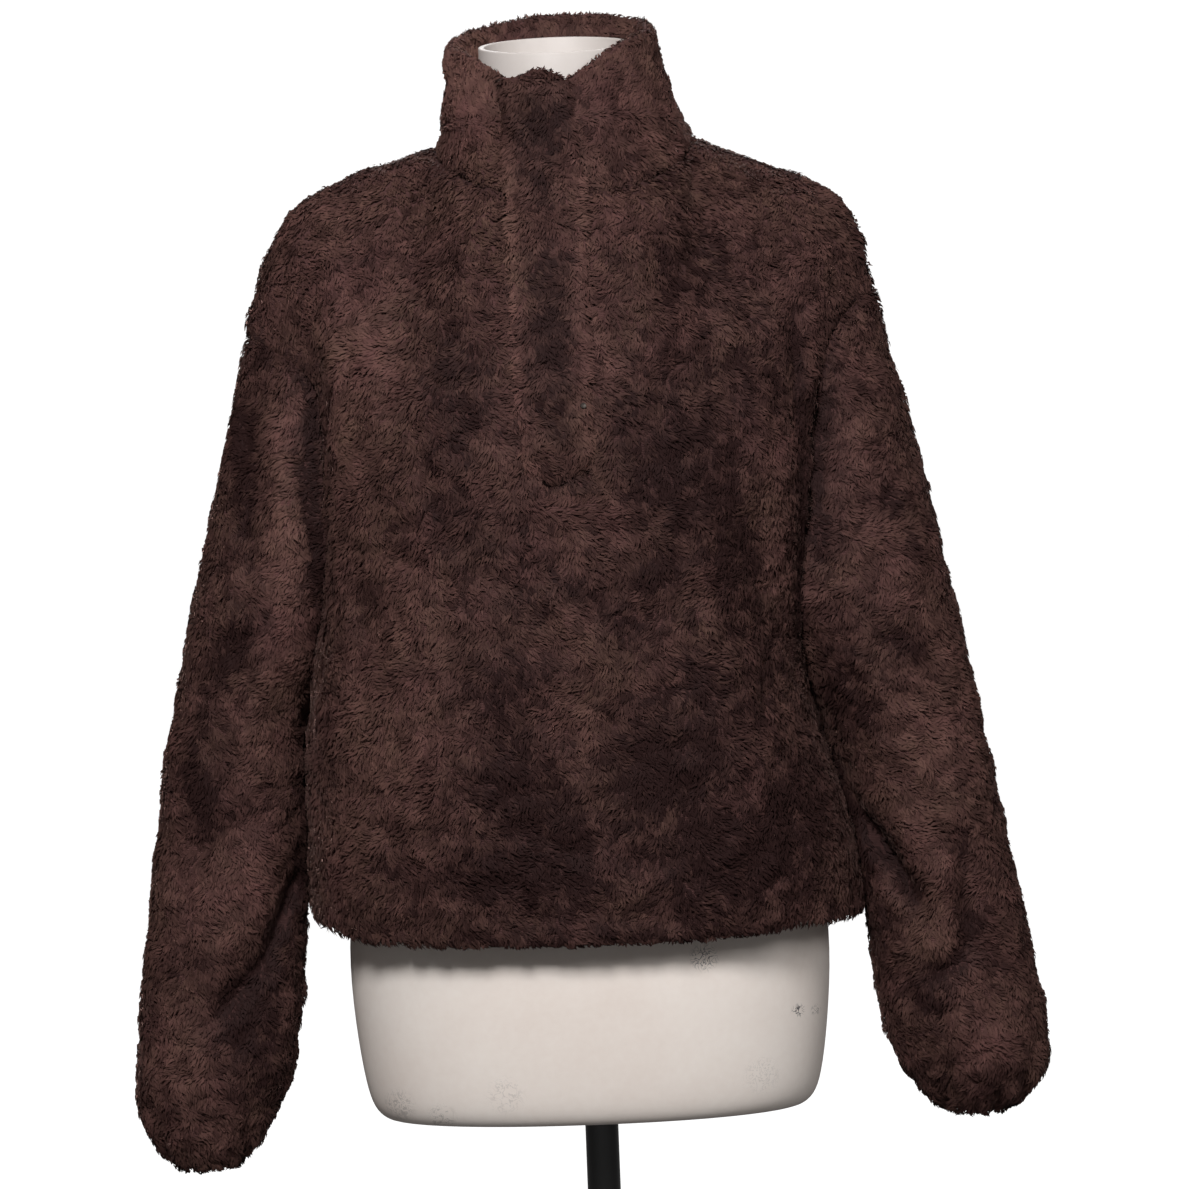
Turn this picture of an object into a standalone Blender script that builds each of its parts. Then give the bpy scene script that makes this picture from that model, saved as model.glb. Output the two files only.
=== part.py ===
"""Fleece pullover with a stand collar and a half placket, on a limbless dress form and its pole stand.

Shapes are worked out in millimetres and placed in metres. Heights in the tables are measured
from a datum 270 mm above the floor, just below the dress form. The front faces -Y, +X is the
wearer's left, +Z is up, and the origin is the centre of the underside of the stand's base.
"""

import math
from collections import namedtuple

import bmesh
import bpy
import numpy as np

# Stand
DATUM_HEIGHT = 270.0         # where the tables' heights start, above the floor
BASE_RADIUS = 145.0
BASE_THICKNESS = 12.0
BASE_BEVEL = 3.0
POLE_RADIUS = 12.5
TOUCH_GAP = 0.3              # between pieces that meet
SHARP_ANGLE = 50.0           # edges shade sharp beyond this, in degrees

# Cloth
FLEECE_WALL = 8.0            # backing and pile together
HEM_WALL = 10.5              # turned up and stitched
COLLAR_WALL = 14.0           # two layers with pile on both sides
CUFF_WALL = 9.0
HEM_LIP = 4.0
COLLAR_LIP = 6.0
MITRE_FLOOR = 0.4            # keeps a seam's sharpest corner from running far into its piece
STRIP_SLOPE = 0.61           # which way the strips along a seam are cut, by X against height

# Front, back and neckline
FRONT = -1
BACK = 1
HALF_COLUMNS = 13            # centre line to side seam
NECK_COLUMN = 6              # where the neckline ends and the shoulder seam starts
SIDE_ROWS = 7                # hem to underarm
CHEST_ROWS = 6               # underarm to chest line
YOKE_ROWS = 8                # chest line to shoulder seam and neckline
TOP_ROW = SIDE_ROWS + CHEST_ROWS + YOKE_ROWS
CHEST_ROW = SIDE_ROWS + CHEST_ROWS
UNDERARM_HEIGHT = 332.0
CHEST_HEIGHT = 500.0
CHEST_HALF = 200.0           # half width that the placket's columns are spaced on
SIDE_BLEND = 3               # rows drop to their side's height late, by this power
ARMHOLE_BLEND = 4            # and bend to the armhole's line later still
YOKE_RISE = 1.1              # pull upward where the yoke leaves the chest line
SHOULDER_ROLL = 140.0        # pull inward where it comes over the shoulder
NECK_ROLL = 95.0             # pull inward where it comes to the neckline
NECK_RISE = 0.8              # and upward there
HEM_SIDE_HEIGHT = {1: 160.0, -1: 179.0}      # wearer's left and right
ARMHOLE_ROUNDING = 0.31      # rings turn rounder once they end on the armhole
ARMHOLE_ROUNDING_DEPTH = 45.0
NECK_HALF = 97.0
NECK_CENTRE_Y = 12.0
NECK_SIDE_HEIGHT = 741.0
NECK_DEPTH = {FRONT: 110.0, BACK: 73.0}
NECK_MIDDLE_HEIGHT = {FRONT: 700.0, BACK: 760.0}

# Placket
PLACKET_COLUMNS = 2          # columns each side of its middle
PLACKET_WIDTH = 55.0
PLACKET_MIDDLE_X = -15.0
PLACKET_RELIEF = 6.5
PLACKET_EDGE_RELIEF = 3.5
PLACKET_POINT = 9.0          # its lower end runs to a shallow point
PLACKET_OVER_COLLAR = 8.0

# Collar
COLLAR_ROWS = 5
COLLAR_TOP_HEIGHT = 817.0
COLLAR_TOP_HALF = 82.0
COLLAR_TOP_DEPTH = 82.0
COLLAR_TOP_X = -8.0
COLLAR_TOP_Y = 3.0
COLLAR_RISE_BACK = 0.20      # top edge rises towards the back
COLLAR_RISE_LEFT = 0.06      # and a little towards the wearer's left
COLLAR_DIP = 24.0            # where the edge dips at the placket
COLLAR_DIP_WIDTH = 44.0
COLLAR_DIP_POWER = 4         # the dip is flat in its middle and steep at its sides
COLLAR_WAIST = -3.0          # the band curves in between its edges

# Sleeves
SLEEVE_COLUMNS = 2 * (CHEST_ROWS + YOKE_ROWS)
SEAM_FADE_ROWS = 4           # rows over which a sleeve leaves its armhole's shape

Ring = namedtuple("Ring", "height right left front back roundness")
BODY_RINGS = [
    Ring(155, 213, 204, 146, 139, 0.80),
    Ring(205, 211, 199, 150, 141, 0.77),
    Ring(240, 211, 191, 151, 141, 0.74),
    Ring(270, 210, 182, 151, 141, 0.70),
    Ring(300, 208, 173, 151, 140, 0.65),
    Ring(336, 205, 167, 151, 139, 0.60),
    Ring(420, 204, 172, 151, 138, 0.60),
    Ring(500, 204, 180, 149, 136, 0.60),
]

Seam = namedtuple("Seam", "share x front back_x back height")
ARMHOLE = {
    "right": [
        Seam(0.00, 205, 0, 205, 0, 330),
        Seam(0.08, 203, -24, 204, 22, 343),
        Seam(0.18, 197, -43, 202, 40, 371),
        Seam(0.32, 188, -54, 196, 50, 420),
        Seam(0.47, 186, -58, 193, 53, 470),
        Seam(0.61, 186, -58, 193, 53, 520),
        Seam(0.74, 190, -54, 197, 50, 566),
        Seam(0.86, 214, -38, 216, 36, 590),
        Seam(0.94, 236, -20, 236, 20, 602),
        Seam(1.00, 246, 0, 246, 0, 607),
    ],
    "left": [
        Seam(0.00, 168, 0, 168, 0, 326),
        Seam(0.08, 165, -25, 169, 23, 338),
        Seam(0.18, 162, -46, 173, 42, 362),
        Seam(0.32, 162, -58, 179, 52, 402),
        Seam(0.46, 167, -61, 184, 54, 446),
        Seam(0.60, 173, -60, 188, 54, 496),
        Seam(0.74, 181, -57, 192, 52, 546),
        Seam(0.86, 192, -42, 202, 40, 592),
        Seam(0.94, 212, -21, 216, 20, 614),
        Seam(1.00, 228, 0, 228, 0, 624),
    ],
}

Ridge = namedtuple("Ridge", "share x y height")
SHOULDER = {
    "right": [
        Ridge(0.00, 97, 12, 741),
        Ridge(0.23, 141, 9, 730),
        Ridge(0.44, 183, 6, 713),
        Ridge(0.60, 212, 3, 695),
        Ridge(0.70, 222, 1, 676),
        Ridge(0.79, 229, 0, 657),
        Ridge(0.89, 237, 0, 636),
        Ridge(1.00, 246, 0, 607),
    ],
    "left": [
        Ridge(0.00, 97, 12, 741),
        Ridge(0.28, 147, 8, 720),
        Ridge(0.53, 197, 5, 700),
        Ridge(0.66, 215, 3, 681),
        Ridge(0.78, 220, 1, 661),
        Ridge(0.89, 223, 0, 643),
        Ridge(1.00, 228, 0, 624),
    ],
}

Band = namedtuple("Band", "row inner_x inner_z outer_x outer_z depth y")
SLEEVE_RINGS = {
    "right": [
        Band(0, 205, 330, 246, 607, 56, 0),
        Band(1, 211, 317, 256, 562, 62, -2),
        Band(3, 212, 288, 275, 478, 60, -4),
        Band(5, 213, 246, 297, 383, 54, -6),
        Band(7, 214, 198, 316, 296, 49, -8),
        Band(9, 217, 146, 330, 206, 47, -8),
        Band(11, 221, 92, 343, 112, 46, -8),
        Band(13, 233, 42, 350, 44, 44, -8),
        Band(14, 241, 22, 348, 24, 41, -8),
        Band(15, 254, 4, 340, 4, 37, -8),
        Band(16, 266, -8, 327, -8, 31, -8),
        Band(17, 272, -15, 321, -15, 27, -8),
    ],
    "left": [
        Band(0, 168, 326, 228, 624, 58, 0),
        Band(1, 175, 314, 240, 582, 63, -4),
        Band(3, 181, 287, 259, 492, 60, -8),
        Band(5, 191, 250, 277, 402, 55, -10),
        Band(7, 201, 209, 294, 316, 50, -10),
        Band(9, 206, 162, 310, 226, 48, -10),
        Band(11, 207, 110, 328, 132, 46, -10),
        Band(13, 217, 58, 339, 62, 44, -10),
        Band(14, 226, 39, 339, 42, 41, -10),
        Band(15, 238, 23, 332, 24, 37, -10),
        Band(16, 250, 12, 318, 13, 31, -10),
        Band(17, 259, 6, 309, 6, 27, -10),
    ],
}
SLEEVE_ROWS = SLEEVE_RINGS["left"][-1].row

FOLD_END_SHARE = 0.55        # of a fold's depth that is left at its two ends
SEAM_HOLD = 10               # panels stay unfolded only close to their seams, by this power
SLEEVE_FOLD_SPREAD = 1.6     # folds reach full depth before the middle of a sleeve's face
SLEEVE_START_ROWS = 2        # rows over which folds fade in below the armhole
SLEEVE_END_ROWS = 3          # and out towards the cuff
Fold = namedtuple("Fold", "x0 z0 x1 z1 width depth")
FOLDS = {
    "front": [
        Fold(-176, 560, -158, 420, 17, -7),
        Fold(-150, 430, -165, 300, 20, -5),
        Fold(150, 590, 146, 470, 16, -6),
        Fold(138, 470, 150, 330, 16, -7),
        Fold(120, 560, 118, 500, 14, -4),
        Fold(-5, 190, 10, 330, 22, -6),
        Fold(38, 440, 70, 350, 18, -5),
        Fold(-100, 330, -80, 180, 30, 5),
        Fold(105, 330, 112, 190, 28, 5),
        Fold(-60, 300, -55, 170, 20, -4),
        Fold(60, 260, 70, 165, 20, -4),
        Fold(-120, 560, -60, 500, 24, 4),
    ],
    "back": [
        Fold(-160, 560, -140, 400, 18, -6),
        Fold(155, 570, 135, 410, 18, -6),
        Fold(-50, 640, -20, 330, 26, -5),
        Fold(60, 600, 40, 300, 26, -5),
        Fold(-90, 330, -110, 170, 24, -5),
        Fold(95, 300, 100, 170, 24, -5),
        Fold(0, 300, 5, 165, 28, 5),
    ],
    "sleeve_right front": [
        Fold(-228, 560, -240, 430, 14, -7),
        Fold(-255, 350, -285, 300, 17, -6),
        Fold(-285, 250, -300, 180, 18, -6),
        Fold(-222, 205, -282, 95, 15, -9),
        Fold(-215, 330, -240, 270, 14, -4),
    ],
    "sleeve_left front": [
        Fold(170, 290, 232, 180, 15, -10),
        Fold(262, 175, 240, 120, 13, -6),
        Fold(205, 520, 225, 400, 15, -5),
        Fold(240, 330, 262, 260, 17, -4),
    ],
    "sleeve_right back": [
        Fold(-235, 540, -250, 380, 16, -6),
        Fold(-225, 300, -290, 200, 17, -7),
        Fold(-240, 150, -300, 90, 15, -5),
    ],
    "sleeve_left back": [
        Fold(210, 540, 232, 380, 16, -6),
        Fold(200, 290, 270, 190, 17, -7),
        Fold(225, 140, 280, 85, 15, -5),
    ],
}

Section = namedtuple("Section", "height half front back")
FORM_SECTIONS = [
    Section(14, 156, 95, 91),
    Section(20, 165, 102, 98),
    Section(34, 171, 107, 103),
    Section(72, 177, 113, 110),
    Section(130, 182, 118, 116),
    Section(185, 178, 116, 114),
    Section(240, 158, 105, 100),
    Section(330, 129, 93, 84),
    Section(400, 135, 104, 90),
    Section(460, 143, 118, 96),
    Section(510, 147, 126, 99),
    Section(560, 148, 114, 99),
    Section(610, 150, 90, 95),
    Section(653, 153, 70, 86),
    Section(683, 147, 55.5, 72.5),
    Section(700, 130, 46.5, 62.5),
    Section(712, 107, 45.5, 58.5),
    Section(722, 86, 48.5, 59),
    Section(731, 70, 51, 60.5),
    Section(742, 57.5, 53.5, 61.5),
]
FORM_COLUMNS = 32
FORM_STEP = 45.0             # sections farther apart than this get one more between them
FORM_SQUARENESS = 2.2        # of the body's sections, where 2 is an ellipse
FORM_ROUND_HEIGHT = 700.0    # above this they turn to ellipses towards the neck
FORM_X = -4.0                # the form's axis, beside the pole's
NECK_RADIUS = 57.5
NECK_TUBE_Y = 4.0
NECK_WALL = 4.5
NECK_TOP_HEIGHT = 813.5
NECK_TOP_SLOPE = 0.14        # the rim is higher at the back

Finish = namedtuple("Finish", "colour roughness metallic")
FLEECE = Finish((0.050, 0.030, 0.025), 0.95, 0.0)
FORM_SKIN = Finish((0.74, 0.68, 0.63), 0.55, 0.0)
STAND_METAL = Finish((0.035, 0.033, 0.034), 0.40, 1.0)


def read_table(table, key):
    """Values in a table's other columns at a key between its rows, on a smooth curve."""
    rows = np.array(table, dtype=float)
    keys = rows[:, 0]
    values = rows[:, 1:]
    slopes = np.gradient(values, keys, axis=0)
    key = min(max(key, keys[0]), keys[-1])
    low = min(max(int(np.searchsorted(keys, key)) - 1, 0), len(keys) - 2)
    span = keys[low + 1] - keys[low]
    t = (key - keys[low]) / span
    start = (1 + 2 * t) * (1 - t) ** 2
    end = t * t * (3 - 2 * t)
    leave = t * (1 - t) ** 2 * span
    arrive = -t * t * (1 - t) * span
    return start * values[low] + leave * slopes[low] + end * values[low + 1] + arrive * slopes[low + 1]


def bend(start, leave, end, arrive, t):
    """Point at t on a curve from start to end that leaves and arrives along two vectors."""
    return ((1 + 2 * t) * (1 - t) ** 2 * start + t * (1 - t) ** 2 * leave
            + t * t * (3 - 2 * t) * end - t * t * (1 - t) * arrive)


def unit(vectors):
    """Vectors scaled to length 1."""
    lengths = np.linalg.norm(vectors, axis=-1, keepdims=True)
    return vectors / np.maximum(lengths, 1e-9)


def side_name(side):
    """The wearer's side for a sign of X."""
    return "left" if side > 0 else "right"


def column_angle(step):
    """Angle round a body ring of a column, counted from the centre line."""
    placket_step = math.asin(PLACKET_WIDTH / 2 / CHEST_HALF)
    if step <= PLACKET_COLUMNS:
        return math.asin(step / PLACKET_COLUMNS * PLACKET_WIDTH / 2 / CHEST_HALF)
    share = (step - PLACKET_COLUMNS) / (HALF_COLUMNS - PLACKET_COLUMNS)
    return placket_step + (math.pi / 2 - placket_step) * share


def neckline(face, side, step):
    """Point on the neckline at a column, with the placket's columns evenly spaced."""
    placket_half = PLACKET_WIDTH / 2 * min(step, PLACKET_COLUMNS) / PLACKET_COLUMNS
    middle = PLACKET_MIDDLE_X if face == FRONT else 0.0
    angle = math.asin((middle + side * placket_half) / NECK_HALF)
    if step > PLACKET_COLUMNS:
        share = (step - PLACKET_COLUMNS) / (NECK_COLUMN - PLACKET_COLUMNS)
        angle += (side * math.pi / 2 - angle) * share
    height = NECK_SIDE_HEIGHT + (NECK_MIDDLE_HEIGHT[face] - NECK_SIDE_HEIGHT) * math.cos(angle)
    depth = NECK_CENTRE_Y + face * NECK_DEPTH[face] * math.cos(angle)
    return np.array([NECK_HALF * math.sin(angle), depth, height])


def top_edge(face, side, step):
    """Point on a panel's upper edge: the neckline, then the shoulder seam."""
    if step <= NECK_COLUMN:
        return neckline(face, side, step)
    share = (step - NECK_COLUMN) / (HALF_COLUMNS - NECK_COLUMN)
    x, y, height = read_table(SHOULDER[side_name(side)], share)
    return np.array([side * x, y, height])


def armhole_point(face, side, share):
    """Point on the armhole seam, from the underarm up to the end of the shoulder seam."""
    x, front, back_x, back, height = read_table(ARMHOLE[side_name(side)], share)
    if face == FRONT:
        return np.array([side * x, front, height])
    return np.array([side * back_x, back, height])


def panel_edge(face, side, row):
    """Point on a panel's side edge: the side seam, then the armhole."""
    if row >= SIDE_ROWS:
        return armhole_point(face, side, (row - SIDE_ROWS) / (TOP_ROW - SIDE_ROWS))
    underarm = armhole_point(face, side, 0.0)
    bottom = HEM_SIDE_HEIGHT[side]
    height = bottom + (underarm[2] - bottom) * row / SIDE_ROWS
    right, left = read_table(BODY_RINGS, height)[:2]
    half = left if side > 0 else right
    return np.array([side * half, 0.0, height])


def middle_height(row):
    """Height of a row of a panel at its centre line, up to the chest line."""
    bottom = BODY_RINGS[0].height
    if row <= SIDE_ROWS:
        return bottom + (UNDERARM_HEIGHT - bottom) * row / SIDE_ROWS
    return UNDERARM_HEIGHT + (CHEST_HEIGHT - UNDERARM_HEIGHT) * (row - SIDE_ROWS) / CHEST_ROWS


def ring_point(face, side, row, step):
    """Point on a body ring at or below the chest line."""
    angle = column_angle(step)
    edge = panel_edge(face, side, row)
    height = middle_height(row)
    _, _, front, back, roundness = read_table(BODY_RINGS, height)
    depth = -front if face == FRONT else back
    middle = PLACKET_MIDDLE_X * row / CHEST_ROW if face == FRONT else 0.0
    roundness += ARMHOLE_ROUNDING * min(1.0, abs(edge[1]) / ARMHOLE_ROUNDING_DEPTH)
    across = math.sin(angle)
    along = math.cos(angle) ** roundness
    x = middle + (edge[0] - middle) * across
    y = edge[1] + (depth - edge[1]) * along
    z = height + (edge[2] - height) * (step / HALF_COLUMNS) ** SIDE_BLEND
    return np.array([x, y, z])


def yoke_point(face, side, row, step):
    """Point above the chest line, on a curve up to the neckline or shoulder seam."""
    t = (row - CHEST_ROW) / YOKE_ROWS
    start = ring_point(face, side, CHEST_ROW, step)
    end = top_edge(face, side, step)
    neck_share = max(0.0, 1 - step / NECK_COLUMN)
    rise = end[2] - start[2]
    leave = np.array([0.0, 0.0, rise * YOKE_RISE])
    level = np.array([0.0, -face * SHOULDER_ROLL, 0.0])
    steep = np.array([0.0, -face * NECK_ROLL, rise * NECK_RISE])
    arrive = level * (1 - neck_share) + steep * neck_share
    point = bend(start, leave, end, arrive, t)
    edge_start = ring_point(face, side, CHEST_ROW, HALF_COLUMNS)
    edge_end = top_edge(face, side, HALF_COLUMNS)
    edge_leave = np.array([0.0, 0.0, (edge_end[2] - edge_start[2]) * YOKE_RISE])
    plain_edge = bend(edge_start, edge_leave, edge_end, level, t)
    shift = panel_edge(face, side, row) - plain_edge
    return point + shift * (step / HALF_COLUMNS) ** ARMHOLE_BLEND


def panel_grid(face):
    """Outer points of the front or back, rows from hem to top, columns towards +X."""
    grid = np.zeros((TOP_ROW + 1, 2 * HALF_COLUMNS + 1, 3))
    for row in range(TOP_ROW + 1):
        for column in range(2 * HALF_COLUMNS + 1):
            side = 1 if column >= HALF_COLUMNS else -1
            step = abs(column - HALF_COLUMNS)
            place = ring_point if row <= CHEST_ROW else yoke_point
            grid[row, column] = place(face, side, row, step)
    return grid


def sleeve_ring(side, row):
    """Points of a sleeve ring from its inner side, round the front, to its outer side and back."""
    inner_x, inner_z, outer_x, outer_z, depth, y = read_table(SLEEVE_RINGS[side_name(side)], row)
    inner = np.array([side * inner_x, y, inner_z])
    outer = np.array([side * outer_x, y, outer_z])
    centre = (inner + outer) / 2
    ring = []
    for column in range(SLEEVE_COLUMNS):
        angle = 2 * math.pi * column / SLEEVE_COLUMNS
        across = -math.cos(angle)
        forward = -math.sin(angle)
        point = centre + (outer - centre) * across
        point[1] += depth * forward
        ring.append(point)
    return np.array(ring)


def sleeve_grid(side, front, back):
    """Outer points of a sleeve, starting on the edges of the front and back."""
    column = -1 if side > 0 else 0
    up = front[SIDE_ROWS:, column]
    down = back[SIDE_ROWS:, column][::-1]
    seam = np.concatenate([up, down[1:-1]])
    shift = seam - sleeve_ring(side, 0)
    rings = []
    for row in range(SLEEVE_ROWS + 1):
        hold = max(0.0, 1 - row / SEAM_FADE_ROWS) ** 2
        rings.append(sleeve_ring(side, row) + shift * hold)
    return np.array(rings)


def collar_grid(front, back):
    """Outer points of the collar, from the placket round the wearer's left side and the back."""
    neck_left = front[-1, HALF_COLUMNS:HALF_COLUMNS + NECK_COLUMN]
    neck_back = back[-1, HALF_COLUMNS - NECK_COLUMN:HALF_COLUMNS + NECK_COLUMN + 1][::-1]
    neck_right = front[-1, HALF_COLUMNS - NECK_COLUMN + 1:HALF_COLUMNS + 1]
    base = np.concatenate([neck_left, neck_back, neck_right])
    grid = np.zeros((COLLAR_ROWS + 1, len(base), 3))
    for column, start in enumerate(base):
        face = FRONT if start[1] < NECK_CENTRE_Y else BACK
        across = start[0] / NECK_HALF
        along = (start[1] - NECK_CENTRE_Y) / NECK_DEPTH[face]
        x = COLLAR_TOP_X + COLLAR_TOP_HALF * across
        y = COLLAR_TOP_Y + COLLAR_TOP_DEPTH * along
        z = COLLAR_TOP_HEIGHT + COLLAR_RISE_BACK * y + COLLAR_RISE_LEFT * x
        if face == FRONT:
            z -= COLLAR_DIP * math.exp(-((x - PLACKET_MIDDLE_X) / COLLAR_DIP_WIDTH) ** COLLAR_DIP_POWER)
        end = np.array([x, y, z])
        outward = np.array([across, along, 0.0])
        for row in range(COLLAR_ROWS + 1):
            t = row / COLLAR_ROWS
            grid[row, column] = start + (end - start) * t + outward * COLLAR_WAIST * math.sin(math.pi * t)
    return grid


def shared_normals(grids, outward, loops):
    """Outward normals at every grid point, the same on both sides of a seam.

    Where the body meets a sleeve or the collar, the two surfaces count equally.
    """
    totals = {}
    for name, grid in grids.items():
        wrapped = np.concatenate([grid, grid[:, :1]], axis=1) if name in loops else grid
        across = wrapped[:-1, 1:] - wrapped[1:, :-1]
        up = wrapped[1:, 1:] - wrapped[:-1, :-1]
        faces = outward[name] * np.cross(across, up)
        surface = "body" if name in ("front", "back") else name
        corners = ((0, 0), (0, 1), (1, 0), (1, 1))
        for row in range(faces.shape[0]):
            for column in range(faces.shape[1]):
                for down, right in corners:
                    key = tuple(np.round(wrapped[row + down, column + right], 2))
                    meeting = totals.setdefault(key, {})
                    meeting[surface] = meeting.get(surface, 0) + faces[row, column]
    normals = {}
    for name, grid in grids.items():
        found = np.zeros_like(grid)
        for place in np.ndindex(grid.shape[:2]):
            meeting = totals[tuple(np.round(grid[place], 2))]
            found[place] = sum(unit(total) for total in meeting.values())
        normals[name] = unit(found)
    return normals


def folded(grid, normals, folds, fade):
    """Grid points moved in or out along their normals by a list of folds."""
    lift = np.zeros(grid.shape[:2])
    flat = grid[:, :, [0, 2]]
    for fold in folds:
        start = np.array([fold.x0, fold.z0], dtype=float)
        run = np.array([fold.x1, fold.z1]) - start
        share = np.clip(((flat - start) @ run) / (run @ run), 0, 1)
        distance = np.linalg.norm(flat - start - share[..., None] * run, axis=-1)
        swell = FOLD_END_SHARE + (1 - FOLD_END_SHARE) * np.sin(math.pi * share)
        lift += fold.depth * swell * np.exp(-(distance / fold.width) ** 2)
    return grid + normals * (lift * fade)[..., None]


def panel_fade():
    """How much of a fold each panel point takes: all inside, none on the seams."""
    columns = np.abs(np.arange(2 * HALF_COLUMNS + 1) - HALF_COLUMNS) / HALF_COLUMNS
    rows = np.arange(TOP_ROW + 1) / TOP_ROW
    return np.outer(1 - rows ** SEAM_HOLD, 1 - columns ** SEAM_HOLD)


def sleeve_fade(grid, face):
    """How much of a fold each sleeve point takes on its front or back half."""
    depth = grid[:, :, 1] - grid[:, :, 1].mean(axis=1, keepdims=True)
    reach = np.abs(depth).max(axis=1, keepdims=True)
    share = np.clip(face * depth / reach * SLEEVE_FOLD_SPREAD, 0, 1)
    rows = np.arange(len(grid))
    leave = np.clip(rows / SLEEVE_START_ROWS, 0, 1)
    end = np.clip((len(grid) - 1 - rows) / SLEEVE_END_ROWS, 0, 1)
    return share * (leave * end)[:, None]


def seam_shift(run, inside, normals, loop):
    """How far each point on a seam moves into its piece, to leave half a gap.

    Each stretch moves square to its own line and wall, and the corners between are mitred.
    """
    if loop:
        run, inside, normals = (np.concatenate([part, part[:1]]) for part in (run, inside, normals))
    along = run[1:] - run[:-1]
    lean = normals[1:] + normals[:-1]
    square = unit(np.cross(lean, along))
    inward = inside[1:] + inside[:-1] - run[1:] - run[:-1]
    square *= np.sign((square * inward).sum(axis=1))[:, None]
    if loop:
        before = np.concatenate([square[-1:], square[:-1]])
        after = square
    else:
        before = np.concatenate([square[:1], square])
        after = np.concatenate([square, square[-1:]])
    mitre = np.maximum(1 + (before * after).sum(axis=1), MITRE_FLOOR)
    return (before + after) / mitre[:, None] * TOUCH_GAP / 2


def drawn_back(grid, normals, moved, seams, loop=False):
    """Points of a grid's sewn edges moved half a gap into the piece."""
    result = moved.copy()
    if "first" in seams:
        result[0] += seam_shift(grid[0], grid[1], normals[0], loop)
    if "last" in seams:
        result[-1] += seam_shift(grid[-1], grid[-2], normals[-1], loop)
    if "sides" in seams:
        result[:, 0] += seam_shift(grid[:, 0], grid[:, 1], normals[:, 0], False)
        result[:, -1] += seam_shift(grid[:, -1], grid[:, -2], normals[:, -1], False)
    return result


def to_scene(points):
    """Millimetres above the datum to metres above the floor."""
    return [tuple((p + np.array([0, 0, DATUM_HEIGHT])) * 0.001) for p in points]


def make_object(name, points, faces, finish):
    """Mesh object with its faces turned outward and a plain material."""
    mesh = bpy.data.meshes.new(name)
    mesh.from_pydata(to_scene(points), [], faces)
    work = bmesh.new()
    work.from_mesh(mesh)
    bmesh.ops.recalc_face_normals(work, faces=work.faces)
    work.to_mesh(mesh)
    work.free()
    mesh.shade_smooth()
    mesh.set_sharp_from_angle(angle=math.radians(SHARP_ANGLE))
    item = bpy.data.objects.new(name, mesh)
    bpy.context.collection.objects.link(item)
    material = bpy.data.materials.new(name)
    material.use_nodes = True
    shader = material.node_tree.nodes["Principled BSDF"]
    shader.inputs["Base Color"].default_value = (*finish.colour, 1.0)
    shader.inputs["Roughness"].default_value = finish.roughness
    shader.inputs["Metallic"].default_value = finish.metallic
    mesh.materials.append(material)
    return item


def border(points, faces, run, lip):
    """Faces that close a wall along one edge, flat or with a soft round lip.

    A run holds pairs of outer and inner indices. A flat strip's diagonals follow the place
    of its points, so two pieces that share a seam are cut along the same lines.
    """
    if lip is None:
        for (outer_a, inner_a), (outer_b, inner_b) in zip(run, run[1:]):
            lean = points[outer_b] - points[outer_a]
            if lean[0] + STRIP_SLOPE * lean[2] > 0:
                faces.append((outer_a, outer_b, inner_b))
                faces.append((outer_a, inner_b, inner_a))
            else:
                faces.append((outer_a, outer_b, inner_a))
                faces.append((outer_b, inner_b, inner_a))
        return
    closed = run[0] == run[-1]
    count = len(run) - 1 if closed else len(run)
    middles = []
    for (outer, inner), move in zip(run[:count], lip[:count]):
        middles.append(len(points))
        points.append((points[outer] + points[inner]) / 2 + move)
    if closed:
        middles.append(middles[0])
    for place in range(len(run) - 1):
        (outer_a, inner_a), (outer_b, inner_b) = run[place], run[place + 1]
        faces.append((outer_a, outer_b, middles[place + 1], middles[place]))
        faces.append((middles[place], middles[place + 1], inner_b, inner_a))
    if not closed:
        faces.append((run[0][0], middles[0], run[0][1]))
        faces.append((run[-1][0], middles[-1], run[-1][1]))


def wall(name, outer, inner, loop=False, first_lip=None, last_lip=None, finish=FLEECE):
    """One closed solid between an outer grid of points and the inner grid behind it."""
    rows, columns = outer.shape[:2]
    points = list(outer.reshape(-1, 3)) + list(inner.reshape(-1, 3))
    behind = rows * columns
    faces = []
    spans = columns if loop else columns - 1
    for row in range(rows - 1):
        for column in range(spans):
            following = (column + 1) % columns
            a = row * columns + column
            b = row * columns + following
            c = (row + 1) * columns + following
            d = (row + 1) * columns + column
            faces.append((a, b, c, d))
            faces.append((a + behind, d + behind, c + behind, b + behind))
    order = [column % columns for column in range(spans + 1)]
    first = [(column, column + behind) for column in order]
    last = [((rows - 1) * columns + column, (rows - 1) * columns + column + behind) for column in order]
    first_moves = unit(outer[0] - outer[1])[order] * first_lip if first_lip else None
    last_moves = unit(outer[-1] - outer[-2])[order] * last_lip if last_lip else None
    border(points, faces, first, first_moves)
    border(points, faces, last, last_moves)
    if not loop:
        for column in (0, columns - 1):
            run = [(row * columns + column, row * columns + column + behind) for row in range(rows)]
            border(points, faces, run, None)
    return make_object(name, points, faces, finish)


def cloth_piece(name, grid, normals, thickness, seams, loop=False, **lips):
    """A sewn piece: a wall of the given thickness behind its outer points."""
    inner = grid - normals * thickness[:, None, None]
    outer = drawn_back(grid, normals, grid, seams, loop)
    inner = drawn_back(grid, normals, inner, seams, loop)
    return wall(name, outer, inner, loop=loop, **lips)


def panel_thickness():
    """Wall of the front and back, row by row: the turned hem is thicker."""
    thickness = np.full(TOP_ROW + 1, FLEECE_WALL)
    thickness[0] = HEM_WALL
    thickness[1] = (HEM_WALL + FLEECE_WALL) / 2
    return thickness


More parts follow.
